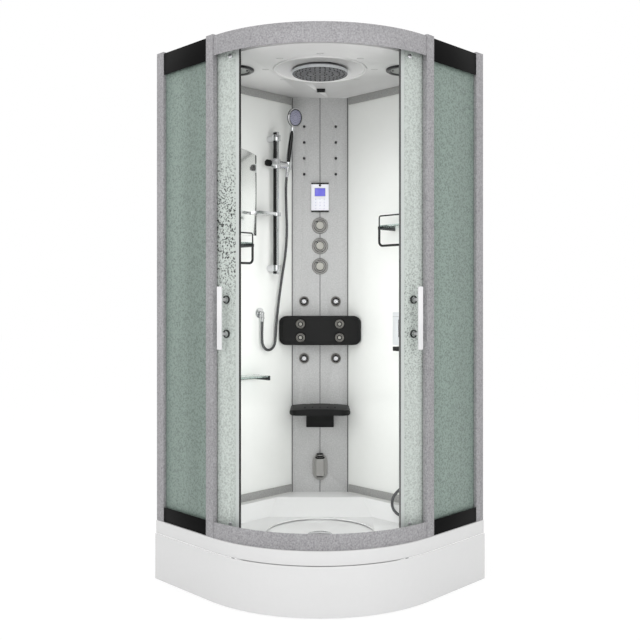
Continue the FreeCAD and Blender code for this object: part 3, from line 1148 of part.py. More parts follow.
HAND_END = PLAN.inverse() * HAND * Placement(Vector(0, 0, -size("grip_low")), UPRIGHT)
hose_start = HAND_END.Base - (HAND_END.Rotation.multVec(Z_AXIS)) * 0.3
elbow_mouth = Vector(size("elbow_along"), size("wall_face + elbow_off"),
                     size("elbow_level - elbow_drop") - 0.3)
hose_points = [
    hose_start, hose_start + Vector(-0.5, -9.5, -54), Vector(264, 56, 1485), Vector(262, 59, 1375),
    Vector(268, 56, 1275), Vector(284, 51, 1180), Vector(299, 49, 1090), Vector(309, 46, 1008),
    Vector(313, 42, 938), Vector(314, 40, 887), Vector(337, 41, 863), Vector(370, 44, 863),
    Vector(393, 46, 886), Vector(394.5, 45, 928), elbow_mouth - Vector(0, 0, 34), elbow_mouth]
node("shower_hose", hose("shower_hose", hose_points, size("hose_radius"), PLAN))


def elbow(name, frame, along, level):
    """A wall disc, a short neck and an outlet that points down."""
    inward = Vector(0, 1, 0)
    disc = rod(name + "_disc", "elbow_disc", "elbow_disc_deep", (along, "wall_face", level), inward, frame)
    neck = rod(name + "_neck", "elbow_radius", "elbow_off", (along, "wall_face", level), inward, frame)
    knee = doc.addObject("Part::Sphere", name + "_knee")
    knee.setExpression("Radius", bound("elbow_radius"))
    knee.Placement = frame * Placement(Vector(*map(size, (along, "wall_face + elbow_off", level))), UPRIGHT)
    mouth = rod(name + "_mouth", "elbow_radius - 1", "elbow_drop",
                (along, "wall_face + elbow_off", level), Vector(0, 0, -1), frame)
    return fuse(name, disc, neck, knee, mouth)


node("hose_elbows", group("hose_elbows", elbow("shower_elbow", PLAN, "elbow_along", "elbow_level"),
                          elbow("loop_elbow_high", RIGHT, "-loop_along_high", "loop_level_high"),
                          elbow("loop_elbow_low", RIGHT, "-loop_along_low", "loop_level_low")))

off = size("wall_face + elbow_off")
drop = size("elbow_drop") + 0.3
loop_high = Vector(-size("loop_along_high"), off, size("loop_level_high") - drop)
loop_low = Vector(-size("loop_along_low"), off, size("loop_level_low") - drop)
loop_points = [
    loop_high, loop_high - Vector(0, 0, 30), Vector(-562, 60, 328), Vector(-535, 78, 298),
    Vector(-508, 88, 262), Vector(-513, 94, 219), Vector(-553, 94, 196), Vector(-594, 88, 214),
    Vector(-609, 68, 254), loop_low - Vector(0, 0, 24), loop_low]
node("loop_hose", hose("loop_hose", loop_points, size("hose_radius"), RIGHT))

# ---- Wall fittings ----

dish_frame = PLAN * Placement(Vector(size("bar_along"), size(BAR_Y), size("bar_base + dish_rise")), UPRIGHT)
dish_start = "bar_radius + dish_arm"
dish_tray = cut("dish_tray",
                box("dish_block", "dish_long", "dish_wide", "dish_deep",
                    (dish_start, "-dish_wide / 2", "-dish_deep / 2"),
                    dish_frame),
                box("dish_hollow", "dish_long - 2 * dish_skin", "dish_wide - 2 * dish_skin", "dish_deep",
                    (f"{dish_start} + dish_skin", "-dish_wide / 2 + dish_skin", "-dish_deep / 2 + dish_skin"),
                    dish_frame))
dish_collar = rod("dish_collar", "dish_collar", "dish_deep + 4", (0, 0, "-dish_deep / 2 - 2"),
                  frame=dish_frame)
dish_arm = box("dish_arm", "dish_arm + 6", 16, "dish_deep - 4", ("bar_radius", -8, "-dish_deep / 2"),
               dish_frame)
dish_bore = rod("dish_bore", "bar_radius + fit_play", "4 * dish_deep", (0, 0, "-2 * dish_deep"),
                frame=dish_frame)
node("soap_dish", cut("soap_dish", fuse("dish_solid", dish_tray, dish_collar, dish_arm), dish_bore))


def mirror_plate():
    """A mirror with a gently arched top."""
    wide, rise, base = size("mirror_wide"), size("mirror_rise"), size(MIRROR_BASE)
    side = size(f"{MIRROR_BASE} + mirror_tall")
    at = lambda x, z: Vector(size("mirror_along") + x, size("wall_face"), z)
    edges = [Part.LineSegment(at(0, base), at(wide, base)).toShape(),
             Part.LineSegment(at(wide, base), at(wide, side)).toShape(),
             Part.Arc(at(wide, side), at(wide / 2, side + rise), at(0, side)).toShape(),
             Part.LineSegment(at(0, side), at(0, base)).toShape()]
    return Part.Face(Part.Wire(edges)).extrude(Vector(0, size("mirror_skin"), 0))


node("wall_mirror", shaped("wall_mirror", mirror_plate(), PLAN))


def shelf_unit(name, frame, along, level, low_rail):
    """A glass shelf on two chrome arms; with low_rail also a guard wire and a towel rail."""
    here = frame * Placement(Vector(size(along), size("wall_face"), size(level)), UPRIGHT)
    pane = box(name + "_pane", "shelf_long", "shelf_reach - 3", "shelf_skin", (0, 2, "0"), here)
    arms = [box(f"{name}_arm_{number}", "arm_wide", "shelf_reach", "arm_tall", (start, 0, "-arm_tall"), here)
            for number, start in enumerate(("0", "shelf_long - arm_wide"))]
    if not low_rail:
        foot_ends = [box(f"{name}_stop_{number}", "arm_wide", 3, "shelf_skin + arm_tall",
                         (start, "shelf_reach - 0.8", "-arm_tall"), here)
                     for number, start in enumerate(("0", "shelf_long - arm_wide"))]
        bar = box(name + "_back", "shelf_long", 6, 6, (0, 0, "-arm_tall"), here)
        return pane, fuse(name + "_frame", *arms, *foot_ends, bar)
    inset = size("arm_wide") / 2
    length = size("shelf_long")
    front = size("shelf_reach")
    rise, drop_to = size("shelf_skin + guard_rise"), -size("towel_drop")
    guard = tube([Vector(inset, front + 3, -8), Vector(inset, front + 3, rise),
                  Vector(length - inset, front + 3, rise), Vector(length - inset, front + 3, -8)],
                 [8, 8], size("guard_radius"))
    towel = tube([Vector(inset, front + 3, -6), Vector(inset, front + 3, drop_to),
                  Vector(length - inset, front + 3, drop_to), Vector(length - inset, front + 3, -6)],
                 [size("towel_bend")] * 2, size("towel_radius"))
    wires = [shaped(f"{name}_guard", guard, here), shaped(f"{name}_towel", towel, here)]
    joiners = [rod(f"{name}_joiner_{number}", "towel_radius + 1", "arm_tall",
                   (start, "shelf_reach + 3", "-arm_tall"),
                   frame=here) for number, start in enumerate(("arm_wide / 2", "shelf_long - arm_wide / 2"))]
    return pane, fuse(name + "_frame", *arms, *wires, *joiners)


shelf_panes, shelf_frames = [], []
for name, frame, along, level, low_rail in (
        ("shelf_low", PLAN, "shelf_low_along", "shelf_low_level", False),
        ("shelf_left", PLAN, "shelf_left_along", "shelf_left_level", True),
        ("shelf_right", RIGHT, "-shelf_right_along - shelf_long", "shelf_right_level", True)):
    pane, frame_solid = shelf_unit(name, frame, along, level, low_rail)
    shelf_panes.append(pane)
    shelf_frames.append(frame_solid)
node("glass_shelves", group("glass_shelves", *shelf_panes))
node("shelf_fittings", group("shelf_fittings", *shelf_frames))

pump_frame = RIGHT * Placement(
    Vector(-size("pump_along + pump_wide"), size("wall_face"), size("pump_base")), UPRIGHT)
pump_body = box("pump_body", "pump_wide", "pump_deep", "pump_tall", frame=pump_frame)
pump_foot = box("pump_foot", "pump_wide + 2", "pump_deep", "lever_tall + 4", (-1, "pump_back", -1),
                pump_frame)
pump_window = box("pump_window", 10, 4, "pump_tall / 2",
                  ("pump_wide / 2 - 5", "pump_deep - 2", "pump_tall / 3"),
                  pump_frame)
stem_bore = rod("stem_bore", "lever_stem + fit_play", "pump_back",
                ("pump_wide / 2", "pump_back - stem_in - lever_travel - 1", "1 + lever_tall / 2"),
                Vector(0, 1, 0), pump_frame)
node("soap_dispenser", cut("soap_dispenser", pump_body, pump_foot, pump_window, stem_bore))
push_pad = box("push_pad", "lever_wide", "lever_deep", "lever_tall",
               ("pump_wide / 2 - lever_wide / 2", "pump_back + lever_gap", 1), pump_frame)
push_stem = rod("push_stem", "lever_stem", "stem_in + lever_gap + lever_deep / 2",
                ("pump_wide / 2", "pump_back - stem_in", "1 + lever_tall / 2"), Vector(0, 1, 0), pump_frame)
node("dispenser_lever", fuse("dispenser_lever", push_pad, push_stem))

# ---- Plumbing behind the column ----

mixer = box("mixer_block", "2 * mixer_half", "mixer_deep", f"valve_top - {VALVE_BASE} + 2 * mixer_over",
            ("-mixer_half", f"{BACK} + 4", f"{VALVE_BASE} - mixer_over"))
necks, stems = [], []
for label, level in valves:
    necks.append(rod(f"neck_{label}", "neck_radius", "column_skin + 8", (0, COLUMN_FACE, level),
                     Vector(0, 1, 0)))
    stems.append(rod(f"stem_bore_{label}", "stem_radius + fit_play", "stem_long + 0.5",
                     (0, f"{COLUMN_FACE} - 0.1", level), Vector(0, 1, 0)))
inlets = [rod(f"inlet_{tag}", "inlet_radius", "inlet_long",
              (f"{side} * inlet_across", f"{BACK} + 3 + mixer_deep", f"{VALVE_BASE} - inlet_drop"),
              Vector(0, 1, 0)) for tag, side in (("hot", -1), ("cold", 1))]
mixer_solid = cut("mixer_valve", fuse("mixer_solid", mixer, *necks, *inlets), *stems)
riser_y = RISER_Y
rain_y = DEPTH / 2 - size("rain_depth")
riser_x = size(RISER_ACROSS)
riser_z = size(f"{WALL_TOP} + riser_rise")
riser_end = size(f"{WALL_TOP} + ceiling_skin + rain_neck - 8") + 0.2
riser = shaped("rain_riser", tube(
    [Vector(size("mixer_half"), riser_y, size("valve_top")), Vector(riser_x, riser_y, size("valve_top")),
     Vector(riser_x, riser_y, riser_z), Vector(riser_x, 0, riser_z), Vector(0, rain_y, riser_z),
     Vector(0, rain_y, riser_end)], [12, 30, 40, 11], size("riser_radius")))
manifold_y = f"{COLUMN_FACE} + shank_long + manifold_radius"
manifold = rod("manifold", "manifold_radius", f"{MINI_TOP} - {JET_LOWER} + 30",
               ("-jet_across", manifold_y, f"{JET_LOWER} - 15"))
feed = rod("feed", "manifold_radius - 1", "jet_across - mixer_half",
           ("-jet_across", manifold_y, VALVE_BASE), Vector(1, 0, 0))
side_pipe = fuse("side_pipe", manifold, feed)
boiler_y = BACK + size("boiler_deep") / 2
steam_z = size("steam_base + steam_tall / 2")
steam_run = shaped("steam_run", tube(
    [Vector(0, boiler_y, size(BOILER_BASE)), Vector(0, boiler_y, steam_z),
     Vector(0, BACK + 9, steam_z)], [14], size("steam_pipe")))
node("pipework", group("pipework", mixer_solid, riser, side_pipe, mirrored("side_pipe_right", side_pipe),
                       steam_run, drain_trap))
boiler = box("boiler_case", "2 * boiler_half", "boiler_deep", "boiler_tall",
             ("-boiler_half", BACK, BOILER_BASE))
node("steam_generator", boiler)

# ---- Check every object, then write each sub-part to its own file ----

doc.recompute()
for item in doc.Objects:
    if "Invalid" in item.State or "Error" in item.State:
        raise ValueError(f"{item.Label} failed: {item.State}")
os.makedirs("parts", exist_ok=True)
for item in nodes:
    shape = item.Shape
    if shape.isNull() or not shape.isValid() or not shape.Solids:
        raise ValueError(f"{item.Label} has no valid solid")
for item in nodes:
    item.Shape.exportStep(os.path.join("parts", item.Label + ".step"))
print(len(nodes), "sub-parts")
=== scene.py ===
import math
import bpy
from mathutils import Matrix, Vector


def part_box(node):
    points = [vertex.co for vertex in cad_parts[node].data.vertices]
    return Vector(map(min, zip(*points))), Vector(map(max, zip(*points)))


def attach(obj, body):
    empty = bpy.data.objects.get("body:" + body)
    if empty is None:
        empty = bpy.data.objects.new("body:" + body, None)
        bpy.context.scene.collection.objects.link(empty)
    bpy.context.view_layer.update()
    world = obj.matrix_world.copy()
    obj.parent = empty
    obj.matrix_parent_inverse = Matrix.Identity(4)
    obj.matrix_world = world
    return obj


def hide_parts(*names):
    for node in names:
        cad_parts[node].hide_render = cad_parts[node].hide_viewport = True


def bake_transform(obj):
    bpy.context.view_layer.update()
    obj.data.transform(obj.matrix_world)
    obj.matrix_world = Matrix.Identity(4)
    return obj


bl_info = {
    "name": "Steam shower cabin dressing",
    "version": (1, 0, 0),
    "blender": (4, 5, 0),
    "location": "3D Viewport > Sidebar > Cabin",
    "description": "Finishes and fine pieces of a quarter-round steam shower cabin",
    "category": "Object",
}

import bpy
from bpy.props import FloatProperty, FloatVectorProperty, PointerProperty
from mathutils import Matrix, Vector

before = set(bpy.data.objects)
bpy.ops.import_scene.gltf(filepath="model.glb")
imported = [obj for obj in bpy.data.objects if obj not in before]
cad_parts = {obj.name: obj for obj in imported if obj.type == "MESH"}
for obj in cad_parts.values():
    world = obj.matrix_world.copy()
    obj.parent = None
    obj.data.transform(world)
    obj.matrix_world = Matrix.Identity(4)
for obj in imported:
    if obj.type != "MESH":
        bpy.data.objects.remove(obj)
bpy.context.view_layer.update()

MM = 0.001
OUT = Vector((0, -1, 0))
HALF = math.sqrt(0.5)


# ---- Places, worked out from the frame ----

def low(node):
    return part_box(node)[0]


def high(node):
    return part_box(node)[1]


def middle(node):
    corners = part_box(node)
    return (corners[0] + corners[1]) / 2


CORNER = Vector((0, high("tray_basin").y, 0))
COLUMN_FACE = low("column_panels").y
# Heights, and distances from the middle of the column or from its face, that the frame doesn't name.
VALVES = (("upper", 1.406), ("middle", 1.316), ("lower", 1.226))
COLUMN_JETS = (("upper", 1.071), ("lower", 0.819))
JET_ACROSS = 0.070
TOP_MINI, MINI_STEP = 1.845, 0.0704
REST_JETS = (0.9733, 0.9146)
REST_JET_ACROSS, REST_FRONT = 0.0846, 0.0800
KNOB_FRONT = 0.0258
PANEL_FRONT = 0.014
SPOUT_AXIS = 0.3415
# The slide bar's distance along the left wall from the corner, and out of the wall.
BAR_ALONG, BAR_OUT = 0.336, 0.070
HANDLE_POSTS = (0.957, 1.079)
HANDLE_WAY = math.radians(38)
# Along the left wall, out of it into the cabin, and up; the right wall runs towards the corner.
LEFT_WALL = Matrix(((-HALF, HALF, 0, 0), (-HALF, -HALF, 0, CORNER.y), (0, 0, 1, 0), (0, 0, 0, 1)))
RIGHT_WALL = Matrix(((-HALF, -HALF, 0, 0), (HALF, -HALF, 0, CORNER.y), (0, 0, 1, 0), (0, 0, 0, 1)))


# ---- Settings ----

def tint(name, description, shade):
    return FloatVectorProperty(name=name, description=description, subtype="COLOR_GAMMA",
                               min=0, max=1, default=shade)


def length(name, description, metres):
    return FloatProperty(name=name, description=description, subtype="DISTANCE", unit="LENGTH",
                         min=0, precision=4, default=metres)


class CabinColours(bpy.types.PropertyGroup):
    acrylic: tint("Acrylic", "Tray and roof", (0.895, 0.895, 0.895))
    wall: tint("Wall", "Backed wall panels", (0.925, 0.93, 0.92))
    column: tint("Column", "Speckled column panels", (0.70, 0.70, 0.70))
    silver: tint("Silver", "Speckled coat of the frame", (0.635, 0.63, 0.64))
    black: tint("Black", "Bands of the side frames", (0.012, 0.012, 0.013))
    side_glass: tint("Side glass", "Frosted fixed panes", (0.54, 0.60, 0.57))
    door_glass: tint("Door glass", "Rain glass of the doors", (0.80, 0.83, 0.81))
    shelf_glass: tint("Shelf glass", "Clear shelves", (0.86, 0.92, 0.90))
    chrome: tint("Chrome", "Polished fittings", (0.86, 0.86, 0.87))
    nickel: tint("Nickel", "Satin knobs and plates", (0.63, 0.625, 0.615))
    nozzle: tint("Nozzle grey", "Faces of the shower heads", (0.45, 0.45, 0.46))
    rubber: tint("Rubber", "Seals and tyres", (0.035, 0.035, 0.035))
    foam: tint("Foam skin", "Back rest", (0.085, 0.085, 0.085))
    moulding: tint("Moulding", "Black plastic of the seat", (0.06, 0.06, 0.062))
    fascia: tint("Fascia", "Front of the control panel", (0.90, 0.90, 0.93))
    display: tint("Display", "Lit screen", (0.36, 0.35, 0.74))
    steel: tint("Steel", "Galvanised frame and case", (0.62, 0.63, 0.64))
    brass: tint("Brass", "Nuts and valve ends", (0.72, 0.60, 0.38))
    pipe: tint("Pipe", "Waste and supply plastic", (0.78, 0.78, 0.77))
    ceiling: tint("Ceiling", "Underside of the roof", (0.92, 0.915, 0.915))
    trim: tint("Trim", "Strips at the walls' ends", (0.62, 0.62, 0.615))
    gasket: tint("Gasket", "Seam and edges of the column", (0.36, 0.36, 0.36))
    # Painted shade: a darkened copy of the chrome for rims that stand in shade.
    painted_shade_metal: tint("Dark metal", "Rims that stand in shade", (0.30, 0.30, 0.305))
    pale_nickel: tint("Pale nickel", "Caps of the knobs", (0.66, 0.655, 0.63))
    # Painted shade: a darkened copy of the nickel, used for the jet rings.
    painted_shade_nickel: tint("Dark nickel", "Rings round the knobs", (0.50, 0.49, 0.475))
    lens: tint("Lens", "Lamp covers", (0.60, 0.61, 0.60))
    spray: tint("Spray face", "Face of the hand shower", (0.60, 0.60, 0.68))
    key_mark: tint("Key mark", "Marks on the keys", (0.70, 0.70, 0.82))
    dispenser: tint("Dispenser", "Soap dispenser", (0.80, 0.81, 0.82))
    seal: tint("Seal", "Clear bodies of the door seals", (0.80, 0.82, 0.81))
    # Painted sheen: near-white half-metal standing in for the glint of the chrome handles.
    painted_sheen: tint("Polish", "Door handles", (0.96, 0.96, 0.965))
    hose: tint("Hose", "Spiral metal of the hoses", (0.42, 0.42, 0.43))
    mirror: tint("Mirror", "Silvered sheet", (0.97, 0.975, 0.97))
    floor: tint("Floor", "Pale floor", (0.99, 0.99, 0.99))


class CabinSizes(bpy.types.PropertyGroup):
    soft_edge: length("Soft edge", "Rounding of metal and plastic edges", 0.8 * MM)
    tray_edge: length("Tray edge", "Rounding of the acrylic's edges", 5 * MM)
    hose_pitch: length("Hose pitch", "Distance between the hose's ribs", 2.6 * MM)
    hose_rib: length("Hose rib", "Depth of the hose's ribs", 0.45 * MM)


def colours():
    return bpy.context.scene.cabin_colours


def sizes():
    return bpy.context.scene.cabin_sizes


# ---- Shader groups ----

def linear(shade):
    """A display colour as the light that a shader works with."""
    return [(c / 12.92 if c <= 0.04045 else ((c + 0.055) / 1.055) ** 2.4) for c in shade] + [1.0]


def feed(node, inputs):
    """Fill a node's inputs, given by label or place: a socket is linked, anything else is a constant."""
    for label, value in inputs.items():
        if isinstance(value, bpy.types.NodeSocket):
            node.id_data.links.new(value, node.inputs[label])
        else:
            node.inputs[label].default_value = value
    return node


def add(tree, kind, inputs=None, **settings):
    """A new shader node, set and then fed."""
    node = tree.nodes.new("ShaderNode" + kind)
    for name, value in settings.items():
        setattr(node, name, value)
    return feed(node, inputs or {})


def maths(tree, operation, first, second):
    """The result of a math node; each operand is a socket or a number."""
    return add(tree, "Math", {0: first, 1: second}, operation=operation).outputs[0]


def lightened(tree, shade, factor):
    """A colour times a factor."""
    return add(tree, "VectorMath", {0: shade, "Scale": factor}, operation="SCALE").outputs[0]


def group_shell(name, inputs, outputs):
    """An empty group with its sockets: the tree, what it is given and the node that it fills."""
    group = bpy.data.node_groups.new(name, "ShaderNodeTree")
    for sockets, way in ((inputs, "INPUT"), (outputs, "OUTPUT")):
        for label, kind in sockets.items():
            group.interface.new_socket(label, in_out=way, socket_type="NodeSocket" + kind)
    return group, group.nodes.new("NodeGroupInput").outputs, group.nodes.new("NodeGroupOutput")


PATTERN_INPUTS = {"Vector": "Vector", "Scale": "Float", "Contrast": "Float", "Colour": "Color"}
PATTERN_OUTPUTS = {"Colour": "Color", "Height": "Float"}


def speckled_coat():
    """Colour that varies from grain to grain, with the grain's height."""
    name = "speckled_coat"
    if name in bpy.data.node_groups:
        return bpy.data.node_groups[name]
    group, given, made = group_shell(name, PATTERN_INPUTS, PATTERN_OUTPUTS)
    fine = add(group, "TexNoise", {"Vector": given["Vector"], "Scale": given["Scale"], "Detail": 2.0})
    coarse = add(group, "TexNoise", {"Vector": given["Vector"], "Detail": 3.0,
                                     "Scale": maths(group, "MULTIPLY", given["Scale"], 0.02)})
    swing = maths(group, "SUBTRACT", fine.outputs["Fac"], 0.5)
    drift = maths(group, "MULTIPLY", maths(group, "SUBTRACT", coarse.outputs["Fac"], 0.5), 0.25)
    both = maths(group, "MULTIPLY", maths(group, "ADD", swing, drift), given["Contrast"])
    feed(made, {"Colour": lightened(group, given["Colour"], maths(group, "ADD", both, 1.0)),
                "Height": fine.outputs["Fac"]})
    return group


def smudged_gloss():
    """Roughness that drifts a little, as on a surface that has been wiped."""
    name = "smudged_gloss"
    if name in bpy.data.node_groups:
        return bpy.data.node_groups[name]
    group, given, made = group_shell(
        name, {"Vector": "Vector", "Scale": "Float", "Roughness": "Float", "Spread": "Float"},
        {"Roughness": "Float"})
    cloud = add(group, "TexNoise", {"Vector": given["Vector"], "Scale": given["Scale"], "Detail": 4.0})
    swing = maths(group, "MULTIPLY", maths(group, "SUBTRACT", cloud.outputs["Fac"], 0.5), given["Spread"])
    feed(made, {"Roughness": maths(group, "MAXIMUM", maths(group, "ADD", swing, given["Roughness"]), 0.02)})
    return group


def pebbled_glass():
    """Small round pebbles pressed into glass: their colour with painted shade dark at the rims, and their
    height.
    """
    name = "pebbled_glass"
    if name in bpy.data.node_groups:
        return bpy.data.node_groups[name]
    darkest, lightest = 0.03, 1.10
    group, given, made = group_shell(name, PATTERN_INPUTS, PATTERN_OUTPUTS)
    cells = add(group, "TexVoronoi", {"Vector": given["Vector"], "Scale": given["Scale"]},
                feature="SMOOTH_F1")
    warp = add(group, "TexNoise", {"Vector": given["Vector"], "Detail": 2.0,
                                   "Scale": maths(group, "MULTIPLY", given["Scale"], 0.6)})
    mixed = maths(group, "ADD", maths(group, "MULTIPLY", cells.outputs["Distance"], 0.9),
                  maths(group, "MULTIPLY", warp.outputs["Fac"], 0.8))
    swing = maths(group, "MULTIPLY", maths(group, "SUBTRACT", mixed, 0.79), given["Contrast"])
    shade = maths(group, "MAXIMUM", maths(group, "ADD", swing, 1.0), darkest)
    feed(made, {"Colour": lightened(group, given["Colour"], maths(group, "MINIMUM", shade, lightest)),
                "Height": mixed})
    return group


# ---- Materials ----

def finish(name, shade, roughness, metallic=0.0, pattern=speckled_coat, scale=400.0, contrast=0.06,
           relief=0.0, depth=0.2 * MM, smudge=0.08, **sockets):
    """A material with a patterned colour, a wiped gloss and a fine relief."""
    label = "cabin_" + name
    if label in bpy.data.materials:
        return bpy.data.materials[label]
    material = bpy.data.materials.new(label)
    material.use_nodes = True
    tree = material.node_tree
    where = add(tree, "TexCoord").outputs["Object"]
    coat = add(tree, "Group", {"Vector": where, "Scale": scale, "Contrast": contrast,
                               "Colour": linear(shade)}, node_tree=pattern())
    gloss = add(tree, "Group", {"Vector": where, "Scale": 9.0, "Roughness": roughness, "Spread": smudge},
                node_tree=smudged_gloss())
    shader = feed(tree.nodes["Principled BSDF"], {
        "Metallic": metallic, "Base Color": coat.outputs["Colour"], "Roughness": gloss.outputs["Roughness"]})
    feed(shader, {socket.replace("_", " ").title().replace("Ior", "IOR"): value
                  for socket, value in sockets.items()})
    if relief:
        bump = add(tree, "Bump", {"Strength": relief, "Distance": depth, "Height": coat.outputs["Height"]})
        feed(shader, {"Normal": bump.outputs["Normal"]})
    return material


def mixed_surface(material, share, first, second):
    """Let a material show its second shader by a share and its first by the rest."""
    tree = material.node_tree
    mixed = add(tree, "MixShader", {"Fac": share, 1: first.outputs[0], 2: second.outputs[0]})
    feed(tree.nodes["Material Output"], {"Surface": mixed.outputs[0]})
    return material


def let_light_through(material, share):
    """Let part of the light that falls on a pane pass it, so that it lights what stands behind."""
    tree = material.node_tree
    passing = maths(tree, "MULTIPLY", add(tree, "LightPath").outputs["Is Shadow Ray"], share)
    return mixed_surface(material, passing, tree.nodes["Principled BSDF"], add(tree, "BsdfTransparent"))


def grain_of(pane):
    """The node that gives a material its pattern."""
    return [node for node in pane.node_tree.nodes if node.type == "GROUP" and "Contrast" in node.inputs][0]


def painted_reflection_between(pane, low_level, high_level, calm, reflection_contrast):
    """Painted reflection: stronger grain between two levels of a pane, fading at both ends."""
    fade_height = 0.28
    tree = pane.node_tree
    level = add(tree, "SeparateXYZ", {0: add(tree, "TexCoord").outputs["Object"]}).outputs["Z"]
    fades = []
    for first, last, start, stop in ((low_level, low_level + fade_height, 0, 1),
                                     (high_level - fade_height, high_level, 1, 0)):
        fade = add(tree, "MapRange", {"Value": level, "From Min": first, "From Max": last, "To Min": start,
                                      "To Max": stop}, interpolation_type="SMOOTHSTEP")
        fades.append(fade.outputs["Result"])
    swing = maths(tree, "MULTIPLY", maths(tree, "MULTIPLY", *fades), reflection_contrast - calm)
    feed(grain_of(pane), {"Contrast": maths(tree, "ADD", swing, calm)})
    return pane


def painted_light_and_shade_stripes(pane, shade, strength):
    """Painted light and shade: broad upright streaks, a little lighter and darker, as frosted glass shows
    before a wall.
    """
    tree = pane.node_tree
    place = add(tree, "Mapping", {"Vector": add(tree, "TexCoord").outputs["Object"], "Scale": (7, 7, 0.25)})
    streaks = add(tree, "TexNoise", {"Vector": place.outputs[0], "Scale": 1.0, "Detail": 2.0})
    swing = maths(tree, "MULTIPLY", maths(tree, "SUBTRACT", streaks.outputs["Fac"], 0.5), 2 * strength)
    feed(grain_of(pane), {"Colour": lightened(tree, linear(shade)[:3], maths(tree, "ADD", swing, 1.0))})


# Name: colour, roughness, metallic, grain scale, contrast, relief, smudge, and other sockets.
FINISHES = {
    "acrylic": ("acrylic", 0.16, 0, 60, 0.02, 0, 0.06, dict(coat_weight=0.3, coat_roughness=0.08)),
    "ceiling_white": ("ceiling", 0.22, 0, 50, 0.02, 0, 0.06),
    "wall_white": ("wall", 0.16, 0, 40, 0.02, 0, 0.05),
    "column_grey": ("column", 0.55, 0, 190, 0.55, 0.2, 0.1, dict(specular_ior_level=0.3)),
    "silver_coat": ("silver", 0.50, 0.2, 170, 1.2, 0.3, 0.1, dict(depth=0.3 * MM, specular_ior_level=0.4)),
    "trim_silver": ("trim", 0.45, 0.2, 200, 0.6, 0.2, 0.1),
    "black_lacquer": ("black", 0.45, 0, 500, 0.3, 0.1, 0.12, dict(specular_ior_level=0.08)),
    "gloss_black": ("black", 0.14, 0, 500, 0.2, 0, 0.06),
    "chrome": ("chrome", 0.07, 1, 25, 0.05, 0, 0.06),
    # Chrome darkened with painted shade.
    "painted_shade_chrome": ("painted_shade_metal", 0.12, 1, 40, 0.08, 0, 0.06),
    # Door handles with a painted sheen.
    "handle_painted_sheen": ("painted_sheen", 0.20, 0.45, 25, 0.04, 0, 0.08),
    "seal_clear": ("seal", 0.32, 0, 120, 0.05, 0, 0.06),
    "satin_steel": ("chrome", 0.28, 1, 200, 0.08, 0, 0.1),
    "satin_nickel": ("nickel", 0.34, 0.6, 350, 0.12, 0, 0.1),
    "pale_nickel": ("pale_nickel", 0.36, 0.5, 350, 0.10, 0, 0.1),
    # Nickel darkened with painted shade.
    "painted_shade_nickel": ("painted_shade_nickel", 0.30, 0.8, 300, 0.15, 0, 0.1),
    "nozzle_grey": ("nozzle", 0.42, 0.3, 300, 0.15, 0, 0.08),
    "lens_grey": ("lens", 0.25, 0.2, 200, 0.15, 0, 0.08),
    "spray_violet": ("spray", 0.30, 0.3, 300, 0.12, 0, 0.08),
    "rubber": ("rubber", 0.6, 0, 700, 0.4, 0.15, 0.08),
    "gasket_grey": ("gasket", 0.5, 0, 600, 0.2, 0.1, 0.08),
    "foam_skin": ("foam", 0.55, 0, 900, 0.35, 0.35, 0.12, dict(specular_ior_level=0.22)),
    "moulding": ("moulding", 0.48, 0, 800, 0.3, 0.25, 0.12, dict(specular_ior_level=0.2)),
    "fascia": ("fascia", 0.2, 0, 80, 0.03, 0, 0.08),
    "key_violet": ("key_mark", 0.35, 0, 300, 0.1, 0, 0.08),
    "dispenser_grey": ("dispenser", 0.3, 0, 150, 0.06, 0, 0.08),
    "mirror_silver": ("mirror", 0.10, 0.9, 20, 0.02, 0, 0.02),
    "steel": ("steel", 0.38, 0.8, 90, 0.3, 0.05, 0.25),
    "brass": ("brass", 0.28, 1, 200, 0.15, 0, 0.15),
    "pipe_plastic": ("pipe", 0.35, 0, 200, 0.08, 0, 0.08),
    "hose_metal": ("hose", 0.22, 1, 300, 0.15, 0, 0.1),
}


def paint(name):
    """The material that the table gives under a name."""
    colour, roughness, metallic, scale, contrast, relief, smudge, *others = FINISHES[name]
    return finish(name, getattr(colours(), colour), roughness, metallic=metallic, scale=scale,
                  contrast=contrast, relief=relief, smudge=smudge, **(others[0] if others else {}))


def side_glass():
    pane = finish("side_glass", colours().side_glass, 0.40, pattern=pebbled_glass, scale=170, contrast=1.0,
                  relief=0.5, depth=0.6 * MM, smudge=0.1, alpha=0.96, specular_ior_level=0.3)
    # Painted light and shade: upright streaks on the frosted panes.
    painted_light_and_shade_stripes(pane, colours().side_glass, 0.34)
    return let_light_through(pane, 0.75)


def door_glass(name, scale, low_level, high_level, reflection_contrast):
    """Rain glass with a painted reflection: its grain is stronger between two levels."""
    pane = finish(name, colours().door_glass, 0.20, pattern=pebbled_glass, scale=scale, contrast=0.9,
                  relief=0.8, depth=1.2 * MM, smudge=0.08, alpha=0.90, ior=1.45)
    painted_reflection_between(pane, low_level, high_level, 0.8, reflection_contrast)
    return let_light_through(pane, 0.75)


def shelf_glass():
    pane = finish("shelf_glass", colours().shelf_glass, 0.04, scale=30, contrast=0.05, smudge=0.03,
                  transmission_weight=0.9, ior=1.45)
    return let_light_through(pane, 0.85)


def display():
    lit = finish("display", colours().display, 0.12, scale=600, contrast=0.12, smudge=0.03)
    feed(lit.node_tree.nodes["Principled BSDF"], {
        "Emission Color": linear(colours().display), "Emission Strength": 0.35})
    return lit


# ---- Modelling by hand ----

def alone(piece):
    """Select one piece only and make it the active one."""
    bpy.ops.object.select_all(action="DESELECT")
    piece.select_set(True)
    bpy.context.view_layer.objects.active = piece
    return piece


def linked(name, data):
    """A new object in the scene."""
    item = bpy.data.objects.new(name, data)
    bpy.context.scene.collection.objects.link(item)
    return item


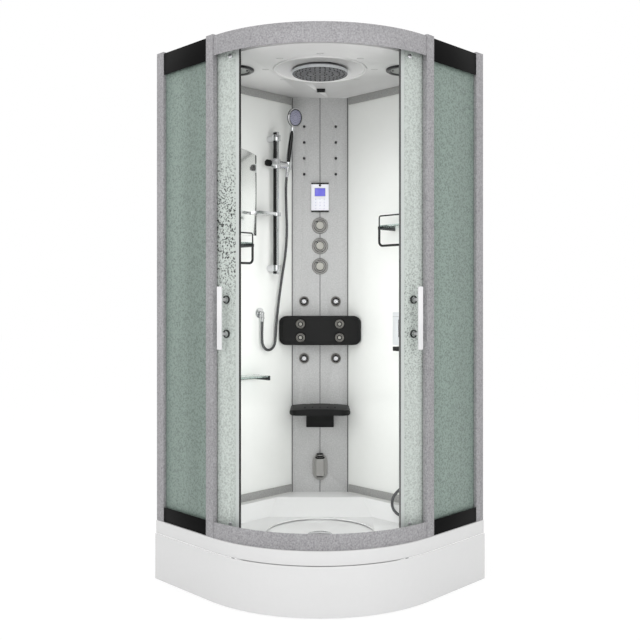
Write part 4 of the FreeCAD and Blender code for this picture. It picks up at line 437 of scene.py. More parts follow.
def opened(piece):
    """Enter edit mode on a piece with all of it selected."""
    alone(piece)
    bpy.ops.object.mode_set(mode="EDIT")
    bpy.ops.mesh.select_all(action="SELECT")


def closed():
    """Turn every face outwards and leave edit mode."""
    bpy.ops.mesh.select_all(action="SELECT")
    bpy.ops.mesh.normals_make_consistent(inside=False)
    bpy.ops.object.mode_set(mode="OBJECT")


def apply_modifier(piece, kind, **settings):
    alone(piece)
    modifier = piece.modifiers.new(kind.lower(), kind)
    for name, value in settings.items():
        setattr(modifier, name, value)
    bpy.ops.object.modifier_apply(modifier=modifier.name)
    return piece


def rounded(piece, width, segments=2, angle=35):
    return apply_modifier(piece, "BEVEL", width=width, segments=segments, limit_method="ANGLE",
                          angle_limit=math.radians(angle), use_clamp_overlap=True)


def smoothed(piece, angle=35):
    alone(piece)
    bpy.ops.object.shade_smooth_by_angle(angle=math.radians(angle))
    return piece


def settled(piece, turn=Matrix.Identity(4)):
    """Turn a piece into its place and write that place into its mesh."""
    alone(piece)
    piece.matrix_world = turn @ piece.matrix_world
    bpy.ops.object.transform_apply(location=True, rotation=True, scale=True)
    return piece


def softened(node, name, width=0.0, segments=2, angle=35):
    """A merged copy of a node, with rounded edges, that will stand for it."""
    piece = linked(name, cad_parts[node].data.copy())
    opened(piece)
    bpy.ops.mesh.customdata_custom_splitnormals_clear()
    bpy.ops.mesh.remove_doubles(threshold=0.01 * MM)
    bpy.ops.mesh.dissolve_limited(angle_limit=math.radians(0.5))
    bpy.ops.object.mode_set(mode="OBJECT")
    if width:
        rounded(piece, width, segments, angle)
    return smoothed(piece, angle)


def facing(place, axis):
    """The turn that takes a piece made about its own Z to a place, pointing along an axis."""
    return Matrix.Translation(place) @ axis.to_track_quat("Z", "Y").to_matrix().to_4x4()


def outward(across, level, out=0.0):
    """The turn that puts a piece on the column, or so far in front of it, pointing into the cabin."""
    return facing(Vector((across, COLUMN_FACE - out, level)), OUT)


def turned(name, steps, turn=Matrix.Identity(4), sides=48, hollow=False, angle=40):
    """A round piece drawn up ring by ring; steps are (radius, height) pairs in millimetres.

    A hollow piece is a closed ring: its last step joins its first.
    """
    steps = [(radius * MM, height * MM) for radius, height in steps]
    first_radius, first_height = steps[0]
    bpy.ops.object.select_all(action="DESELECT")
    bpy.ops.mesh.primitive_circle_add(vertices=sides, radius=first_radius, location=(0, 0, first_height),
                                      fill_type="NOTHING" if hollow else "NGON")
    piece = bpy.context.object
    piece.name = name
    opened(piece)
    for (radius, height), (next_radius, next_height) in zip(steps, steps[1:]):
        rise = {"value": (0, 0, next_height - height)}
        if hollow:
            bpy.ops.mesh.extrude_edges_move(TRANSFORM_OT_translate=rise)
        else:
            bpy.ops.mesh.extrude_region_move(TRANSFORM_OT_translate=rise)
        share = next_radius / radius
        bpy.ops.transform.resize(value=(share, share, 1), center_override=(0, 0, next_height))
    if hollow:
        bpy.ops.mesh.select_mode(type="EDGE")
        bpy.ops.mesh.select_all(action="DESELECT")
        bpy.ops.mesh.select_non_manifold()
        bpy.ops.mesh.bridge_edge_loops()
    closed()
    settled(piece)
    return smoothed(settled(piece, turn), angle)


def repeated(name, steps, places, **shape):
    """One piece of the same round shape at several places."""
    return joined(name, [turned(name, steps, place, **shape) for place in places])


def block(name, near, far, turn=Matrix.Identity(4), edge=0.0, segments=2):
    """A straight-sided piece between two corners, with rounded edges."""
    near, far = Vector(near), Vector(far)
    bpy.ops.object.select_all(action="DESELECT")
    bpy.ops.mesh.primitive_cube_add(size=1, location=(near + far) / 2, scale=far - near)
    piece = bpy.context.object
    piece.name = name
    settled(piece)
    if edge:
        rounded(piece, edge, segments)
    return smoothed(settled(piece, turn))


def studs(name, rings, centre, sides, foot, tip, tall):
    """Rings of small cones round a centre: a ring is (radius, number), a cone is sized in millimetres."""
    piece = linked(name, bpy.data.meshes.new(name))
    alone(piece)
    bpy.ops.object.mode_set(mode="EDIT")
    for radius, number in rings:
        for step in range(number):
            turn = 2 * math.pi * step / number
            spot = centre + Vector((math.cos(turn) * radius, math.sin(turn) * radius, 0))
            bpy.ops.mesh.primitive_cone_add(vertices=sides, radius1=foot * MM, radius2=tip * MM,
                                            depth=tall * MM, location=spot)
    bpy.ops.object.mode_set(mode="OBJECT")
    return piece


def hollow_front(piece, way, margin):
    """Take the inside out of the face that looks one way, so that a flat frame is left."""
    alone(piece)
    bpy.ops.object.mode_set(mode="EDIT")
    bpy.ops.mesh.select_all(action="DESELECT")
    bpy.ops.object.mode_set(mode="OBJECT")
    for face in piece.data.polygons:
        face.select = abs(face.normal.dot(way)) > 0.99
    bpy.ops.object.mode_set(mode="EDIT")
    bpy.ops.mesh.select_mode(type="FACE")
    bpy.ops.mesh.inset(thickness=margin, use_individual=True)
    bpy.ops.mesh.bridge_edge_loops()
    closed()
    return piece


def joined(name, pieces):
    """Several meshes as one piece."""
    alone(pieces[0])
    for piece in pieces[1:]:
        piece.select_set(True)
    bpy.ops.object.join()
    pieces[0].name = name
    return pieces[0]


def copied(piece, name, turn):
    """A copy with a mesh of its own, moved by a turn."""
    return settled(linked(name, piece.data.copy()), turn)


def mirror_twin(piece, name):
    """The same piece on the other side of the cabin."""
    twin = copied(piece, name, Matrix.Scale(-1, 4, Vector((1, 0, 0))))
    opened(twin)
    closed()
    return twin


def dress(piece, material, body="cabin", stands_for=()):
    """Finish a new piece: its material, the nodes it replaces and the body it rides on.

    A material is given itself or by its name in the table. A piece that bends between two bodies
    is given no body here.
    """
    piece.data.materials.clear()
    piece.data.materials.append(paint(material) if isinstance(material, str) else material)
    if body:
        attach(piece, body)
    if stands_for:
        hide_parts(*stands_for)
    return piece


def dress_pair(piece, twin, material, body="cabin", twin_body="cabin"):
    """Finish a piece and its twin on the other side of the cabin."""
    dress(mirror_twin(piece, twin), material, twin_body)
    dress(piece, material, body)


def cover(node, name, material, width=0.0, segments=2, angle=35, body="cabin"):
    """Let a softened copy of a node stand for it."""
    return dress(softened(node, name, width, segments, angle), material, body, [node])


# ---- Stage ----

class CABIN_OT_stage(bpy.types.Operator):
    """Pale floor, soft studio light and the camera"""
    bl_idname = "cabin.stage"
    bl_label = "Stage"

    def execute(self, context):
        scene = context.scene
        scene.view_settings.view_transform = "Standard"
        self.floor()
        self.world(scene)
        self.lamps()
        self.camera(scene)
        return {"FINISHED"}

    def floor(self):
        bpy.ops.object.select_all(action="DESELECT")
        bpy.ops.mesh.primitive_plane_add(size=40)
        floor = bpy.context.object
        floor.name = "stage_floor"
        material = finish("stage_floor", colours().floor, 0.6, scale=3, contrast=0.01)
        tree = material.node_tree
        seen = maths(tree, "MULTIPLY", add(tree, "LightPath").outputs["Is Camera Ray"], 0.82)
        glow = add(tree, "Emission", {"Strength": 1.05})
        mixed_surface(material, seen, tree.nodes["Principled BSDF"], glow)
        floor.data.materials.append(material)

    def world(self, scene):
        world = bpy.data.worlds.new("studio")
        scene.world = world
        world.use_nodes = True
        tree = world.node_tree
        white = (1, 1, 1, 1)
        light = feed(tree.nodes["Background"], {"Color": white, "Strength": 0.75})
        backdrop = add(tree, "Background", {"Color": white, "Strength": 1.0})
        ray = add(tree, "LightPath").outputs
        seen = maths(tree, "MAXIMUM", ray["Is Camera Ray"], ray["Is Glossy Ray"])
        seen = maths(tree, "MAXIMUM", seen, ray["Is Transmission Ray"])
        mixed = add(tree, "MixShader", {"Fac": seen, 1: light.outputs[0], 2: backdrop.outputs[0]})
        feed(tree.nodes["World Output"], {"Surface": mixed.outputs[0]})

    def lamps(self):
        # Name, place, aim, width, height and watts.
        for name, place, aim, wide, tall, watts in (
                ("key_lamp", (-1.6, -3.4, 2.4), (0, 0, 1.1), 2.0, 2.0, 23),
                ("fill_lamp", (1.8, -3.4, 1.6), (0, 0, 1.0), 2.4, 2.4, 18),
                ("top_lamp", (0, 0.2, 4.2), (0, 0, 1.0), 2.5, 2.5, 22),
                ("inner_lamp", (0, -0.34, 0.98), (0, 0.4, 0.86), 0.44, 1.5, 4.8)):
            light = bpy.data.lights.new(name, "AREA")
            light.shape = "RECTANGLE"
            light.size = wide
            light.size_y = tall
            light.energy = watts
            lamp = linked(name, light)
            lamp.location = place
            lamp.visible_camera = False
            lamp.visible_glossy = name != "inner_lamp"
            lamp.rotation_euler = (Vector(aim) - Vector(place)).to_track_quat("-Z", "Y").to_euler()

    def camera(self, scene):
        """The photograph's view: level, from straight in front of the doors."""
        frame_side = 640
        focal_pixels = 836.3
        horizon = 299.6
        distance, level = 3.3424, 1.079
        data = bpy.data.cameras.new("camera")
        data.sensor_width = 36
        data.lens = focal_pixels / frame_side * data.sensor_width
        data.shift_y = (horizon - frame_side / 2) / frame_side
        camera = linked("camera", data)
        camera.location = (0, -distance, level)
        camera.rotation_euler = (math.radians(90), 0, 0)
        scene.camera = camera


# ---- Tray, walls, column and frame ----

class CABIN_OT_tray(bpy.types.Operator):
    """Acrylic tray with soft edges, its skirt, the drain, and the frame and feet under it"""
    bl_idname = "cabin.tray"
    bl_label = "Tray"

    def execute(self, context):
        cover("tray_basin", "tray_bowl", "acrylic", sizes().tray_edge, 3, 30)
        cover("tray_apron", "tray_skirt", "acrylic", 1.2 * MM, 2, 30)
        self.drain()
        cover("tray_frame", "tray_beams", "steel", 1.5 * MM)
        cover("levelling_feet", "tray_feet", "steel", 0.8 * MM)
        return {"FINISHED"}

    def drain(self):
        cover("drain_cover", "drain_dome", "chrome", 0.6 * MM)
        centre = middle("drain_cover")
        here = Matrix.Translation((centre.x, centre.y, low("drain_cover").z + 4 * MM))
        collar = turned("drain_collar", [(46.2, 0), (50.5, 0), (50.5, 0.9), (49, 1.6), (46.6, 1.2)], here,
                        hollow=True)
        dress(collar, "chrome")


class CABIN_OT_walls(bpy.types.Operator):
    """Wall panels, their trims, the column, its seam and the sealing beads"""
    bl_idname = "cabin.walls"
    bl_label = "Walls and column"

    def execute(self, context):
        edge = sizes().soft_edge
        cover("wall_panels", "wall_sheets", "wall_white", edge)
        cover("wall_trims", "wall_strips", "trim_silver", 1.5 * MM)
        cover("column_panels", "column_boards", "column_grey", edge)
        self.column_lines()
        self.sealant()
        return {"FINISHED"}

    def column_lines(self):
        """The dark gasket in the seam, and the slim profile down each side of the column."""
        base, top = low("column_panels").z, high("column_panels").z
        half = high("column_panels").x
        gasket = block("seam_gasket", (-1.6 * MM, COLUMN_FACE - 0.7 * MM, base),
                       (1.6 * MM, COLUMN_FACE + 4 * MM, top), edge=0.5 * MM)
        dress(gasket, "gasket_grey")
        side = block("column_edge_right", (half - 4 * MM, COLUMN_FACE - 1.5 * MM, base),
                     (half + 0.5 * MM, COLUMN_FACE + 5 * MM, top), edge=0.6 * MM)
        dress_pair(side, "column_edge_left", "gasket_grey")

    def sealant(self):
        """Beads of sealant where the lower trims meet the tray."""
        trim_face = 0.031
        base = low("wall_trims").z
        for name, wall, first, last in (("sealant_left", LEFT_WALL, 0.214, 0.862),
                                        ("sealant_right", RIGHT_WALL, -0.862, -0.214)):
            near = (first, trim_face - 2 * MM, base - 0.5 * MM)
            far = (last, trim_face + 3 * MM, base + 3 * MM)
            dress(block(name, near, far, wall, edge=1.6 * MM, segments=3), "pipe_plastic")


class CABIN_OT_framework(bpy.types.Operator):
    """Uprights, rails, black bands, fixed panes and their fixing caps"""
    bl_idname = "cabin.framework"
    bl_label = "Framework"

    def execute(self, context):
        edge = sizes().soft_edge
        for node, name in (("frame_uprights", "posts"), ("head_rail", "head_arc"), ("sill_rail", "sill_arc")):
            cover(node, name, "silver_coat", edge, angle=30)
        cover("side_rails", "black_bands", "black_lacquer", edge)
        cover("side_glass", "fixed_panes", side_glass(), 0.5 * MM)
        self.caps()
        return {"FINISHED"}

    def caps(self):
        """Snap caps over the fixings, inside the wall posts."""
        post_along, post_face, lowest, step = 0.878, 0.0418, 0.36, 0.30
        out = Vector((0, 1, 0))
        places = [LEFT_WALL @ facing(Vector((post_along, post_face, lowest + number * step)), out)
                  for number in range(6)]
        caps = repeated("post_caps_left", [(6.2, -1.5), (6.2, 0.9), (5.2, 1.8), (2, 2.2)], places, sides=20)
        dress_pair(caps, "post_caps_right", "trim_silver")


class CABIN_OT_doors(bpy.types.Operator):
    """Curved sliding doors with handles, seals, hangers and rollers"""
    bl_idname = "cabin.doors"
    bl_label = "Doors"

    def execute(self, context):
        edge = sizes().soft_edge
        # Each door pane carries a band of painted reflection: strong on the left door, faint on the right.
        glass = {"left": door_glass("door_glass", 170, 1.00, 1.66, 4.2),
                 "right": door_glass("door_glass_calm", 190, 0.70, 1.30, 1.9)}
        for side in ("left", "right"):
            for part, name, material, slot, width, segments in (
                    ("glass", "pane", glass[side], "door_glass", 0.5 * MM, 2),
                    ("seal", "seal", "seal_clear", "seal_rubber", edge, 2),
                    ("handle", "handle", "handle_painted_sheen", "chrome", 1.2 * MM, 3),
                    ("hangers", "hangers", "satin_steel", "steel", edge, 2)):
                cover(f"door_{part}_{side}", f"{name}_{side}", material, width, segments,
                      body="door_" + side)
            for end in ("lead", "tail"):
                wheel = f"wheel_{side}_{end}"
                cover(f"roller_{side}_{end}", wheel + "_tyre", "moulding", 0.6 * MM,
                      body=wheel)
        self.lips()
        self.roses(context)
        return {"FINISHED"}

    def lips(self):
        """The dark closing lip down the free edge of each seal."""
        spots = [vertex.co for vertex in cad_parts["door_seal_left"].data.vertices]
        front, tip = min(spots, key=lambda spot: spot.y), max(spots, key=lambda spot: spot.x)
        wide = (tip - front).to_2d().length
        across = (tip - front).to_2d().normalized()
        here = Matrix(((across.y, across.x, 0, front.x), (-across.x, across.y, 0, front.y),
                       (0, 0, 1, 0), (0, 0, 0, 1)))
        lip = block("lip_left", (-2.0 * MM, -0.15 * MM, low("door_seal_left").z + 2 * MM),
                    (0.15 * MM, wide + 0.15 * MM, high("door_seal_left").z - 2 * MM), here, edge=0.4 * MM)
        dress(mirror_twin(lip, "lip_right"), "gasket_grey", "door_right")
        dress(lip, "rubber", "door_left")

    def roses(self, context):
        """A stepped washer where each handle post meets the glass."""
        spots = [vertex.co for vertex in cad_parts["door_handle_left"].data.vertices]
        base = low("door_handle_left").z
        foot = [spot for spot in spots if spot.z < base + 0.5 * MM]
        centre = sum((Vector(spot) for spot in foot), Vector()) / len(foot)
        out = Vector((-math.sin(HANDLE_WAY), -math.cos(HANDLE_WAY), 0))
        pane = bpy.data.objects["pane_left"]
        context.view_layer.update()
        # The pane is met a little above the post, because it has a hole behind the post itself.
        past_hole = 0.020
        washers = []
        for level in HANDLE_POSTS:
            hit, place, _, _ = pane.ray_cast(Vector((centre.x, centre.y, level + past_hole)), -out)
            if not hit:
                raise RuntimeError("the handle's post doesn't meet the glass")
            place.z = level
            washers.append(turned("washer", [
                (11.2, -0.4), (11.2, 5), (12.4, 6.2), (13.8, 5.6), (14.8, 2.4),
                (15.2, -0.4)], facing(place, out), sides=40, hollow=True))
        dress_pair(joined("handle_roses_left", washers), "handle_roses_right", "painted_shade_chrome",
                   "door_left", "door_right")


# ---- Roof ----

class CABIN_OT_roof(bpy.types.Operator):
    """Roof shell, ceiling, rain head, lamps and fan grille"""
    bl_idname = "cabin.roof"
    bl_label = "Roof"

    def execute(self, context):
        cover("roof_shell", "roof_dome", "acrylic", sizes().tray_edge, 3, 40)
        cover("ceiling_panel", "ceiling_tray", "ceiling_white", 1.5 * MM, 2, 25)
        cover("exhaust_fan", "fan_grille", "moulding", 0.6 * MM)
        self.rain_head()
        self.rings()
        self.lamps()
        return {"FINISHED"}

    def rain_head(self):
        centre = middle("rain_head")
        face = low("rain_head").z + 2 * MM
        radius = (high("rain_head").x - low("rain_head").x) / 2
        wide = radius / MM
        here = Matrix.Translation((centre.x, centre.y, face))
        cover("rain_head", "rain_plate", "nozzle_grey", 0.4 * MM)
        rim = turned("rain_rim", [
            (wide - 5, -0.2), (wide - 1.5, -1.2), (wide + 0.8, 1.5), (wide + 0.8, 9), (wide - 2, 9),
            (wide - 5, 2)],
            here, sides=72, hollow=True)
        dress(rim, "dispenser_grey")
        line = turned("rain_line", [
            (wide - 4.6, 1), (wide - 4.6, -1), (wide - 3, -1.6), (wide - 1.6, -1.4), (wide - 1.6, 1)],
            here, sides=72, hollow=True)
        dress(line, "painted_shade_chrome")
        rings = [(radius * 0.95 * share, number)
                 for share, number in ((0.25, 8), (0.5, 16), (0.75, 24), (0.92, 32))]
        tips = studs("rain_tips", rings, Vector((centre.x, centre.y, face - 0.9 * MM)), 10, 1.9, 3.6, 3.2)
        dress(smoothed(tips), "rubber")

    def rings(self):
        """The metal ring round the rain head and the eight small slots outside it."""
        slot_circle = 0.211
        centre = middle("rain_head")
        ceiling = low("ceiling_panel").z + 6 * MM
        ring = turned("ceiling_ring", [
            (173.8, 0), (173.8, -4.4), (175.5, -5.6), (178.5, -5.6), (180.2, -4.4), (180.2, 0)],
            Matrix.Translation((centre.x, centre.y, ceiling)), sides=96, hollow=True)
        dress(ring, "painted_shade_chrome")
        places = []
        for number in range(8):
            turn = math.radians(45 * number)
            place = (centre.x + slot_circle * math.sin(turn), centre.y - slot_circle * math.cos(turn), ceiling)
            places.append(Matrix.Translation(place) @ Matrix.Diagonal((1, 0.32, 1, 1)))
        slots = repeated("ceiling_slots", [(13.5, 0.2), (13.5, -0.9), (12.5, -1.5), (10.5, -1.5), (10, -0.2)],
                         places, sides=28)
        dress(slots, "trim_silver")

    def lamps(self):
        lamp_radius, screw_off = 0.070, 0.043
        across = high("roof_lamps").x - lamp_radius
        places, screw_places = [], []
        for way in (-1, 1):
            here = Matrix.Translation((way * across, middle("roof_lamps").y, low("roof_lamps").z))
            places.append(here)
            screw_places.append(here @ Matrix.Translation((-way * screw_off, 0, 0)))
        bezels = repeated("lamp_bezels", [(53, 6), (53, 1.2), (57, -1.2), (64, -1.6), (70.3, 2.5), (70.3, 7)],
                          places, sides=64, hollow=True)
        lenses = repeated("lamp_lenses", [(53, 6.8), (53, 3.4), (50, 2.2), (49, 3), (38, 1.9), (15, 1.4)],
                          places, sides=64)
        screws = repeated("lamp_screws", [(5, 3), (5, 1), (3.8, 0.2)], screw_places, sides=18)
        dress(bezels, "painted_shade_chrome", stands_for=["roof_lamps"])
        dress(lenses, "lens_grey")
        dress(screws, "rubber")


# ---- Controls, jets and steam on the column ----

class CABIN_OT_controls(bpy.types.Operator):
    """Control panel with its screen, black ends and keys, and the three valves"""
    bl_idname = "cabin.controls"
    bl_label = "Controls"

    def execute(self, context):
        self.panel()
        self.valves()
        return {"FINISHED"}

    def panel(self):
        near, far = low("control_panel"), high("control_panel")
        front = COLUMN_FACE - PANEL_FRONT
        cover("control_panel", "panel_case", "fascia", 0.5 * MM)
        cover("control_screen", "panel_display", display(), 0.15 * MM)
        strip = 6.8 * MM
        ends = [block("end", (near.x - 0.2 * MM, front - 0.5 * MM, base),
                      (far.x + 0.2 * MM, COLUMN_FACE - 0.4 * MM, base + strip + 0.2 * MM), edge=0.8 * MM)
                for base in (far.z - strip, near.z - 0.2 * MM)]
        ends.append(turned("sensor", [(5.2, -1), (5.2, 0.5), (4, 0.9)],
                           outward(0, far.z - 0.0115, PANEL_FRONT), sides=28))
        dress(joined("panel_ends", ends), "gloss_black")
        screen_low, screen_high = low("control_screen"), high("control_screen")
        bezel = block("screen_bezel", (screen_low.x - 1.4 * MM, front - 0.35 * MM, screen_low.z - 1.4 * MM),
                      (screen_high.x + 1.4 * MM, front + 0.5 * MM, screen_high.z + 1.4 * MM))
        hollow_front(bezel, OUT, 1.6 * MM)
        dress(bezel, "trim_silver")
        first_line, line_step, column_step = 0.0145, 0.0135, 0.019
        marks = []
        for line in range(4):
            for column in (-1, 0, 1):
                level = near.z + first_line + line * line_step
                place = Vector((column * column_step, front - 0.75 * MM, level))
                if line == 0:
                    marks.append(block("mark", place - Vector((2.6 * MM, 0.35 * MM, 0.8 * MM)),
                                       place + Vector((2.6 * MM, 0.3 * MM, 0.8 * MM)), edge=0.3 * MM))
                else:
                    marks.append(turned("mark", [(1.2, -0.3), (2.3, -0.3), (2.3, 0.25),
                                                 (1.2, 0.25)], facing(place, OUT), sides=20, hollow=True))
        dress(joined("key_marks", marks), "key_violet")

    def valves(self):
        roses, lines = [], []
        for label, level in VALVES:
            here = outward(0, level)
            roses.append(turned("rose", [
                (35.2, -0.2), (35.2, 2.6), (33.5, 6), (31.8, 7.2), (30, 7), (28.6, 5.2), (26.2, 4.9),
                (24.6, 5.4)],
                here, sides=64))
            # Thin rings of chrome with painted shade: dark outlines round each rose.
            for inner, outer, height in ((33.8, 35.7, 3), (25.2, 27.6, 5.9)):
                lines.append(turned("line", [
                    (inner, 0), (inner, height - 0.5), (inner + 0.6, height), (outer - 0.6, height),
                    (outer, height - 0.8), (outer, 0)], here, sides=64, hollow=True))
            node = "valve_knob_" + label
            body = "knob_" + label
            cover(node, f"knob_{label}_body", "satin_nickel", 1.2 * MM, 3, body=body)
            cap = turned(f"knob_{label}_cap", [
                (17.2, -0.8), (17.2, 0.5), (16, 1.3), (12.5, 1.3), (11.8, 0.7),
                (6, 1.1)], outward(0, level, KNOB_FRONT + 0.2 * MM), sides=48)
            dress(cap, "pale_nickel", body)
            line = turned(f"knob_{label}_line", [(17.6, -0.6), (17.6, 0.7), (18.6, 0.9), (19.2, -0.6)],
                          outward(0, level, KNOB_FRONT), sides=48, hollow=True)
            dress(line, "rubber", body)
            face = Matrix.Translation((0, COLUMN_FACE - KNOB_FRONT, level))
            pointer = block(f"knob_{label}_pointer", (-2.4 * MM, 16 * MM, -1 * MM),
                            (2.4 * MM, 25 * MM, 1.6 * MM), face @ Matrix.Rotation(math.radians(-38), 4, "Y")
                            @ Matrix.Rotation(math.radians(90), 4, "X"), edge=0.6 * MM)
            dress(pointer, "gloss_black", body)
        dress(joined("valve_lines", lines), "painted_shade_chrome")
        dress(joined("valve_roses", roses), "satin_nickel", stands_for=["valve_plates"])


class CABIN_OT_jets(bpy.types.Operator):
    """Massage jets of the column and the back rest, with their balls"""
    bl_idname = "cabin.jets"
    bl_label = "Jets"

    def execute(self, context):
        sides = (("left", -1), ("right", 1))
        column = [outward(way * JET_ACROSS, level) for _, level in COLUMN_JETS for _, way in sides]
        rest = [outward(way * REST_JET_ACROSS, level, REST_FRONT) for level in REST_JETS for _, way in sides]
        small = [outward(way * JET_ACROSS, TOP_MINI - number * MINI_STEP)
                 for number in range(4) for _, way in sides]
        rings = joined("jet_rings", [
            repeated("ring", [(16.6, -1), (16.6, 6), (18, 8.4), (20, 8.4), (22.2, 5), (22.2, -1)], column,
                     hollow=True),
            repeated("ring", [(11, 1), (11, 8.6), (12.5, 10.4), (14.8, 10.4), (15.8, 8.6), (19.6, 6.6),
                              (19.6, 1)], rest, hollow=True)])
        wells = joined("jet_wells", [
            repeated("well", [(12.8, -1), (12.8, 3), (15, 5.2), (16.7, 5.8), (16.7, -1)], column,
                     hollow=True),
            repeated("well", [(7.4, 1), (7.4, 7), (11.1, 7.6), (11.1, 1)], rest, hollow=True)])
        for label, _ in COLUMN_JETS:
            for side, _ in sides:
                cover(f"jet_nozzle_{side}_{label}", f"jet_ball_{side}_{label}", "chrome", 0.3 * MM,
                      body=f"nozzle_{side}_{label}")
        balls = repeated("jet_studs", [(7.4, 2), (7.4, 8.6), (5.8, 10.6), (3.4, 11.4), (3, 9.4)], rest,
                         sides=32)
        minis = repeated("jet_minis", [(6.2, -0.5), (6.2, 2.4), (5, 4.6), (3.4, 5.1), (2, 5.1), (1.6, 2.5)],
                         small, sides=28)
        dress(rings, "painted_shade_nickel", stands_for=["water_jets"])
        dress(wells, "gloss_black")
        dress(balls, "pale_nickel")
        dress(minis, "painted_shade_chrome")
        return {"FINISHED"}


class CABIN_OT_back_rest(bpy.types.Operator):
    """Moulded foam back rest with a pressed line round its front"""
    bl_idname = "cabin.back_rest"
    bl_label = "Back rest"

    def execute(self, context):
        pad = softened("backrest_pad", "rest_foam", 3 * MM, 3, 30)
        apply_modifier(pad, "REMESH", mode="VOXEL", voxel_size=4 * MM)
        apply_modifier(pad, "SMOOTH", factor=0.5, iterations=6)
        apply_modifier(pad, "SUBSURF", levels=1, render_levels=1)
        self.press_line(pad)
        dress(smoothed(pad, 60), "foam_skin", stands_for=["backrest_pad"])
        return {"FINISHED"}

    def press_line(self, pad):
        """A shallow channel 11 mm inside the outline of the front."""
        near, far = low("backrest_pad"), high("backrest_pad")
        half, centre = (far.z - near.z) / 2, (near.z + far.z) / 2
        corner, inset, spread, deep, front = 0.034, 0.011, 0.0028, 1.3 * MM, 0.012
        for vertex in pad.data.vertices:
            spot = vertex.co
            if spot.y > near.y + front:
                continue
            from_side, from_end = far.x - abs(spot.x), half - abs(spot.z - centre)
            from_edge = min(from_side, from_end)
            if from_side < corner and from_end < corner:
                from_edge = corner - math.hypot(corner - from_side, corner - from_end)
            away = (from_edge - inset) / spread
            spot.y += deep * math.exp(-away * away)


class CABIN_OT_seat(bpy.types.Operator):
    """Folding seat, its bracket and the fixings"""
    bl_idname = "cabin.seat"
    bl_label = "Seat"

    def execute(self, context):
        cover("seat_pan", "seat_board", "moulding", 4 * MM, 4, 30, body="seat")
        cover("seat_bracket", "seat_mount", "moulding", 1.8 * MM, 3, 30)
        plate = 0.0081
        places = [outward(across, low("seat_bracket").z + up, plate) for across in (-0.038, 0.038)
                  for up in (0.016, 0.060)]
        bolts = repeated("seat_bolts", [(6, -1), (6, 1.6), (4.8, 3), (2.8, 3.2), (2.6, 1.6)], places,
                         sides=24)
        dress(bolts, "chrome")
        ribs = []
        step, half = 0.032, 0.0035
        front, back = low("seat_pan").y + 0.045, high("seat_pan").y - 0.050
        top = high("seat_pan").z
        for number in range(5):
            across = (number - 2) * step
            ribs.append(block("rib", (across - half, front, top - 1.5 * MM),
                              (across + half, back, top + 0.7 * MM), edge=0.7 * MM))
        dress(joined("seat_ribs", ribs), "moulding", "seat")
        return {"FINISHED"}


class CABIN_OT_steam(bpy.types.Operator):
    """Steam outlet with its black filler cap"""
    bl_idname = "cabin.steam"
    bl_label = "Steam outlet"

    def execute(self, context):
        cover("steam_outlet", "steam_spout", "satin_nickel", 1.6 * MM, 3, 30)
        cap = turned("steam_cap", [
            (15.2, 389), (15.6, 390), (15.6, 393.5), (14, 394.5), (14, 396.5), (15.6, 397.5),
            (15.6, 400.5), (14, 401.6), (5, 402)],
            Matrix.Translation((0, SPOUT_AXIS, 0)))
        dress(cap, "moulding")
        collar = turned("steam_collar", [
            (19, 380), (21.2, 381.5), (21.2, 384.5), (19, 386), (15, 386),
            (15, 380)], Matrix.Translation((0, SPOUT_AXIS, 0)), hollow=True)
        dress(collar, "moulding")
        return {"FINISHED"}


# ---- Wall fittings ----

class CABIN_OT_slide_bar(bpy.types.Operator):
    """Slide bar, its mounts, the slider with its knob, and the soap dish"""
    bl_idname = "cabin.slide_bar"
    bl_label = "Slide bar"

    def execute(self, context):
        cover("slide_bar", "slide_rail", "chrome", 0.8 * MM, 3)
        # A black half shell stands for the painted dark reflection on the chrome rail.
        self.inlay()
        cover("bar_slider", "slider_body", "satin_steel", 1.2 * MM, 3, body="slider")
        cover("slider_knob", "slider_grip", "moulding", 0.8 * MM, body="slider_clamp")
        cover("soap_dish", "dish_tray", "chrome", 0.8 * MM, body="dish")
        return {"FINISHED"}

    def inlay(self):
        """A black half shell on the rail: a painted dark reflection down one side of the chrome."""
        foot = LEFT_WALL @ Vector((BAR_ALONG, BAR_OUT, 0))
        base, top = low("slide_bar").z / MM + 2, high("slide_bar").z / MM - 2
        piece = turned("rail_dark_reflection", [(12, base), (12.58, base + 0.6), (12.58, top - 0.6), (12, top)],
            Matrix.Translation((foot.x, foot.y, 0)), sides=64)
        opened(piece)
        bpy.ops.mesh.bisect(plane_co=foot + Vector((3.8 * MM, 0, 0)), plane_no=(1, 0, 0), use_fill=True,
                            clear_outer=True)
        closed()
        dress(piece, "gloss_black")


# The hand shower in its cradle, from the middle of its foot up the handle; and out of its spray face.
HAND = LEFT_WALL @ Matrix.Translation((0.267, BAR_OUT, 1.659)) @ Matrix.Rotation(math.radians(-10), 4, "X")
HAND_FACE = HAND @ Matrix.Translation((0, 0.004, 0.207)) @ Matrix.Rotation(math.radians(-90), 4, "X")


